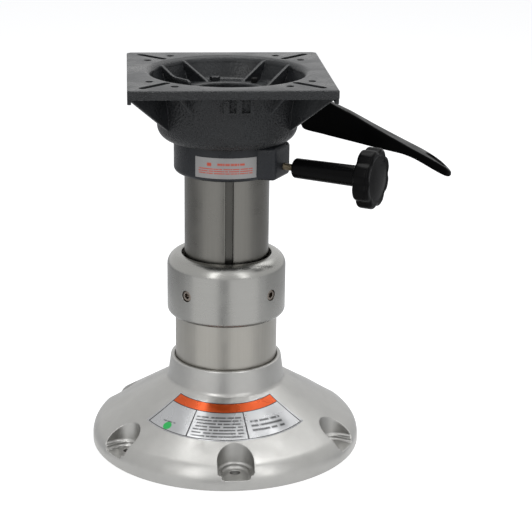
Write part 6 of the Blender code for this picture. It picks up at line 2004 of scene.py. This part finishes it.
@dataclass
class FloorCard:
    """A grey card on the floor that only the metal's reflections see."""

    azimuth: float
    spread: float
    near: float
    far: float
    shade: float
    step: float = math.radians(4.0)
    rise: float = 0.0004

    def build(self) -> None:
        """Lay the card as a part of a ring about the column."""
        builder = bmesh.new()
        count = max(2, round(2.0 * self.spread / self.step))
        pairs = []
        for k in range(count + 1):
            angle = self.azimuth + self.spread * (2.0 * k / count - 1.0)
            points = [polar(radius, angle, self.rise) for radius in (self.near, self.far)]
            pairs.append([builder.verts.new(point) for point in points])
        for (near, far), (next_near, next_far) in zip(pairs, pairs[1:]):
            builder.faces.new((near, far, next_far, next_near))
        card = new_piece("card", builder)
        material, sheet = new_material("grey card")
        matt = sheet.add("ShaderNodeBsdfDiffuse", {"Color": (self.shade,) * 3})
        sheet.add("ShaderNodeOutputMaterial", {"Surface": matt.outputs[0]})
        card.data.materials.append(material)
        card.visible_camera = False
        card.visible_diffuse = False
        card.visible_shadow = False


@dataclass
class Studio:
    """The pale floor, the lamps, the white surroundings and the camera."""

    floor_half: float = 6.0
    floor_level: float = -0.0002
    floor_albedo: float = 0.72
    floor_glow: float = 0.78
    floor_answer: float = 0.45
    ambient: Colour = (0.37, 0.38, 0.40)
    camera_place: tuple[float, float, float] = (-0.0824, -1.3167, 0.5900)
    camera_heading: float = math.radians(5.08)
    camera_pitch: float = math.radians(18.079)
    camera_roll: float = math.radians(0.8108)
    camera_lens: float = 107.6
    lamps: tuple[SoftBox, ...] = (
        SoftBox("overhead", (0.10, 0.20, 1.55), (1.25, 1.0), 14.5, aim=(0.0, -0.05, 0.10)),
        SoftBox("back right", (0.72, 0.66, 1.40), (1.1, 0.9), 3.9, aim=(0.0, 0.0, 0.05)),
        SoftBox("front left", (-0.60, -1.05, 0.85), (0.34, 1.3), 4.2, aim=(0.0, 0.0, 0.22)),
        SoftBox("front right", (0.62, -1.05, 0.85), (0.34, 1.3), 3.4, aim=(0.0, 0.0, 0.22)),
    )
    cards: tuple[FloorCard, ...] = (
        FloorCard(math.radians(84.0), math.radians(116.0), 0.13, 1.9, 0.80),
        FloorCard(math.radians(84.0), math.radians(98.0), 0.40, 1.9, 0.56, rise=0.0008),
        FloorCard(math.radians(-98.0), math.radians(9.0), 0.16, 1.3, 0.55),
    )

    @staticmethod
    def seen_directly(sheet: NodeSheet) -> Socket:
        """Return 1 on camera, glossy and transmission rays."""
        path = sheet.add("ShaderNodeLightPath").outputs
        return sheet.union(path["Is Camera Ray"], path["Is Glossy Ray"], path["Is Transmission Ray"])

    def build_world(self) -> None:
        """Build a white background over a plain soft light."""
        world = bpy.data.worlds.new("studio")
        bpy.context.scene.world = world
        world.use_nodes = True
        sheet = NodeSheet(world.node_tree)
        soft = sheet.add("ShaderNodeBackground", {"Color": self.ambient})
        white = sheet.add("ShaderNodeBackground", {"Color": (1.0, 1.0, 1.0)})
        shaders = {0: self.seen_directly(sheet), 1: soft.outputs[0], 2: white.outputs[0]}
        mix = sheet.add("ShaderNodeMixShader", shaders)
        sheet.add("ShaderNodeOutputWorld", {"Surface": mix.outputs[0]})

    def build_floor(self) -> None:
        """Build the pale floor, which reads white and keeps the shadow."""
        builder = bmesh.new()
        half = self.floor_half
        corners = [(x, y, self.floor_level) for x, y in oblong(-half, half, -half, half)]
        builder.faces.new([builder.verts.new(corner) for corner in corners])
        floor = new_piece("floor", builder)
        material, sheet = new_material("pale floor")
        plain = sheet.add("ShaderNodeBsdfDiffuse", {"Color": (self.floor_albedo,) * 3})
        glow = sheet.add("ShaderNodeEmission", {"Color": (self.floor_glow,) * 3})
        answer = sheet.add("ShaderNodeBsdfDiffuse", {"Color": (self.floor_answer,) * 3})
        lit = sheet.add("ShaderNodeAddShader", {0: glow.outputs[0], 1: answer.outputs[0]})
        shaders = {0: self.seen_directly(sheet), 1: plain.outputs[0], 2: lit.outputs[0]}
        mix = sheet.add("ShaderNodeMixShader", shaders)
        sheet.add("ShaderNodeOutputMaterial", {"Surface": mix.outputs[0]})
        floor.data.materials.append(material)

    def build_camera(self) -> None:
        """Build the camera from its place, heading, pitch and roll."""
        heading, pitch, roll = self.camera_heading, self.camera_pitch, self.camera_roll
        flat = math.cos(pitch)
        forward = Vector((math.sin(heading) * flat, math.cos(heading) * flat, -math.sin(pitch)))
        level = Vector((math.cos(heading), -math.sin(heading), 0.0))
        upright = level.cross(forward)
        right = math.cos(roll) * level + math.sin(roll) * upright
        up = -math.sin(roll) * level + math.cos(roll) * upright
        data = bpy.data.cameras.new("camera")
        data.lens = self.camera_lens
        data.sensor_width = 36.0
        camera = bpy.data.objects.new("camera", data)
        bpy.context.collection.objects.link(camera)
        turn = Matrix((right, up, -forward)).transposed().to_4x4()
        camera.matrix_world = Matrix.Translation(self.camera_place) @ turn
        bpy.context.scene.camera = camera

    def build(self) -> None:
        """Build the camera, the surroundings, the floor and the lamps."""
        self.build_camera()
        self.build_world()
        self.build_floor()
        for card in self.cards:
            card.build()
        for lamp in self.lamps:
            lamp.build()
        bpy.context.scene.view_settings.view_transform = "Standard"


def main() -> None:
    """Build the studio and every sub-assembly."""
    logging.basicConfig(level=logging.INFO, format="%(message)s")
    base = BaseCasting()
    assemblies = (Studio(), base, FixedColumn(), MovingPost(), SwivelHub(), SeatMount(), FloorFasteners(),
                  ReleaseLever(), LockKnob(), Labels(base), InnerWorks())
    for assembly in assemblies:
        assembly.build()
        LOG.info("built %s", type(assembly).__name__)


if __name__ == "__main__":
    main()
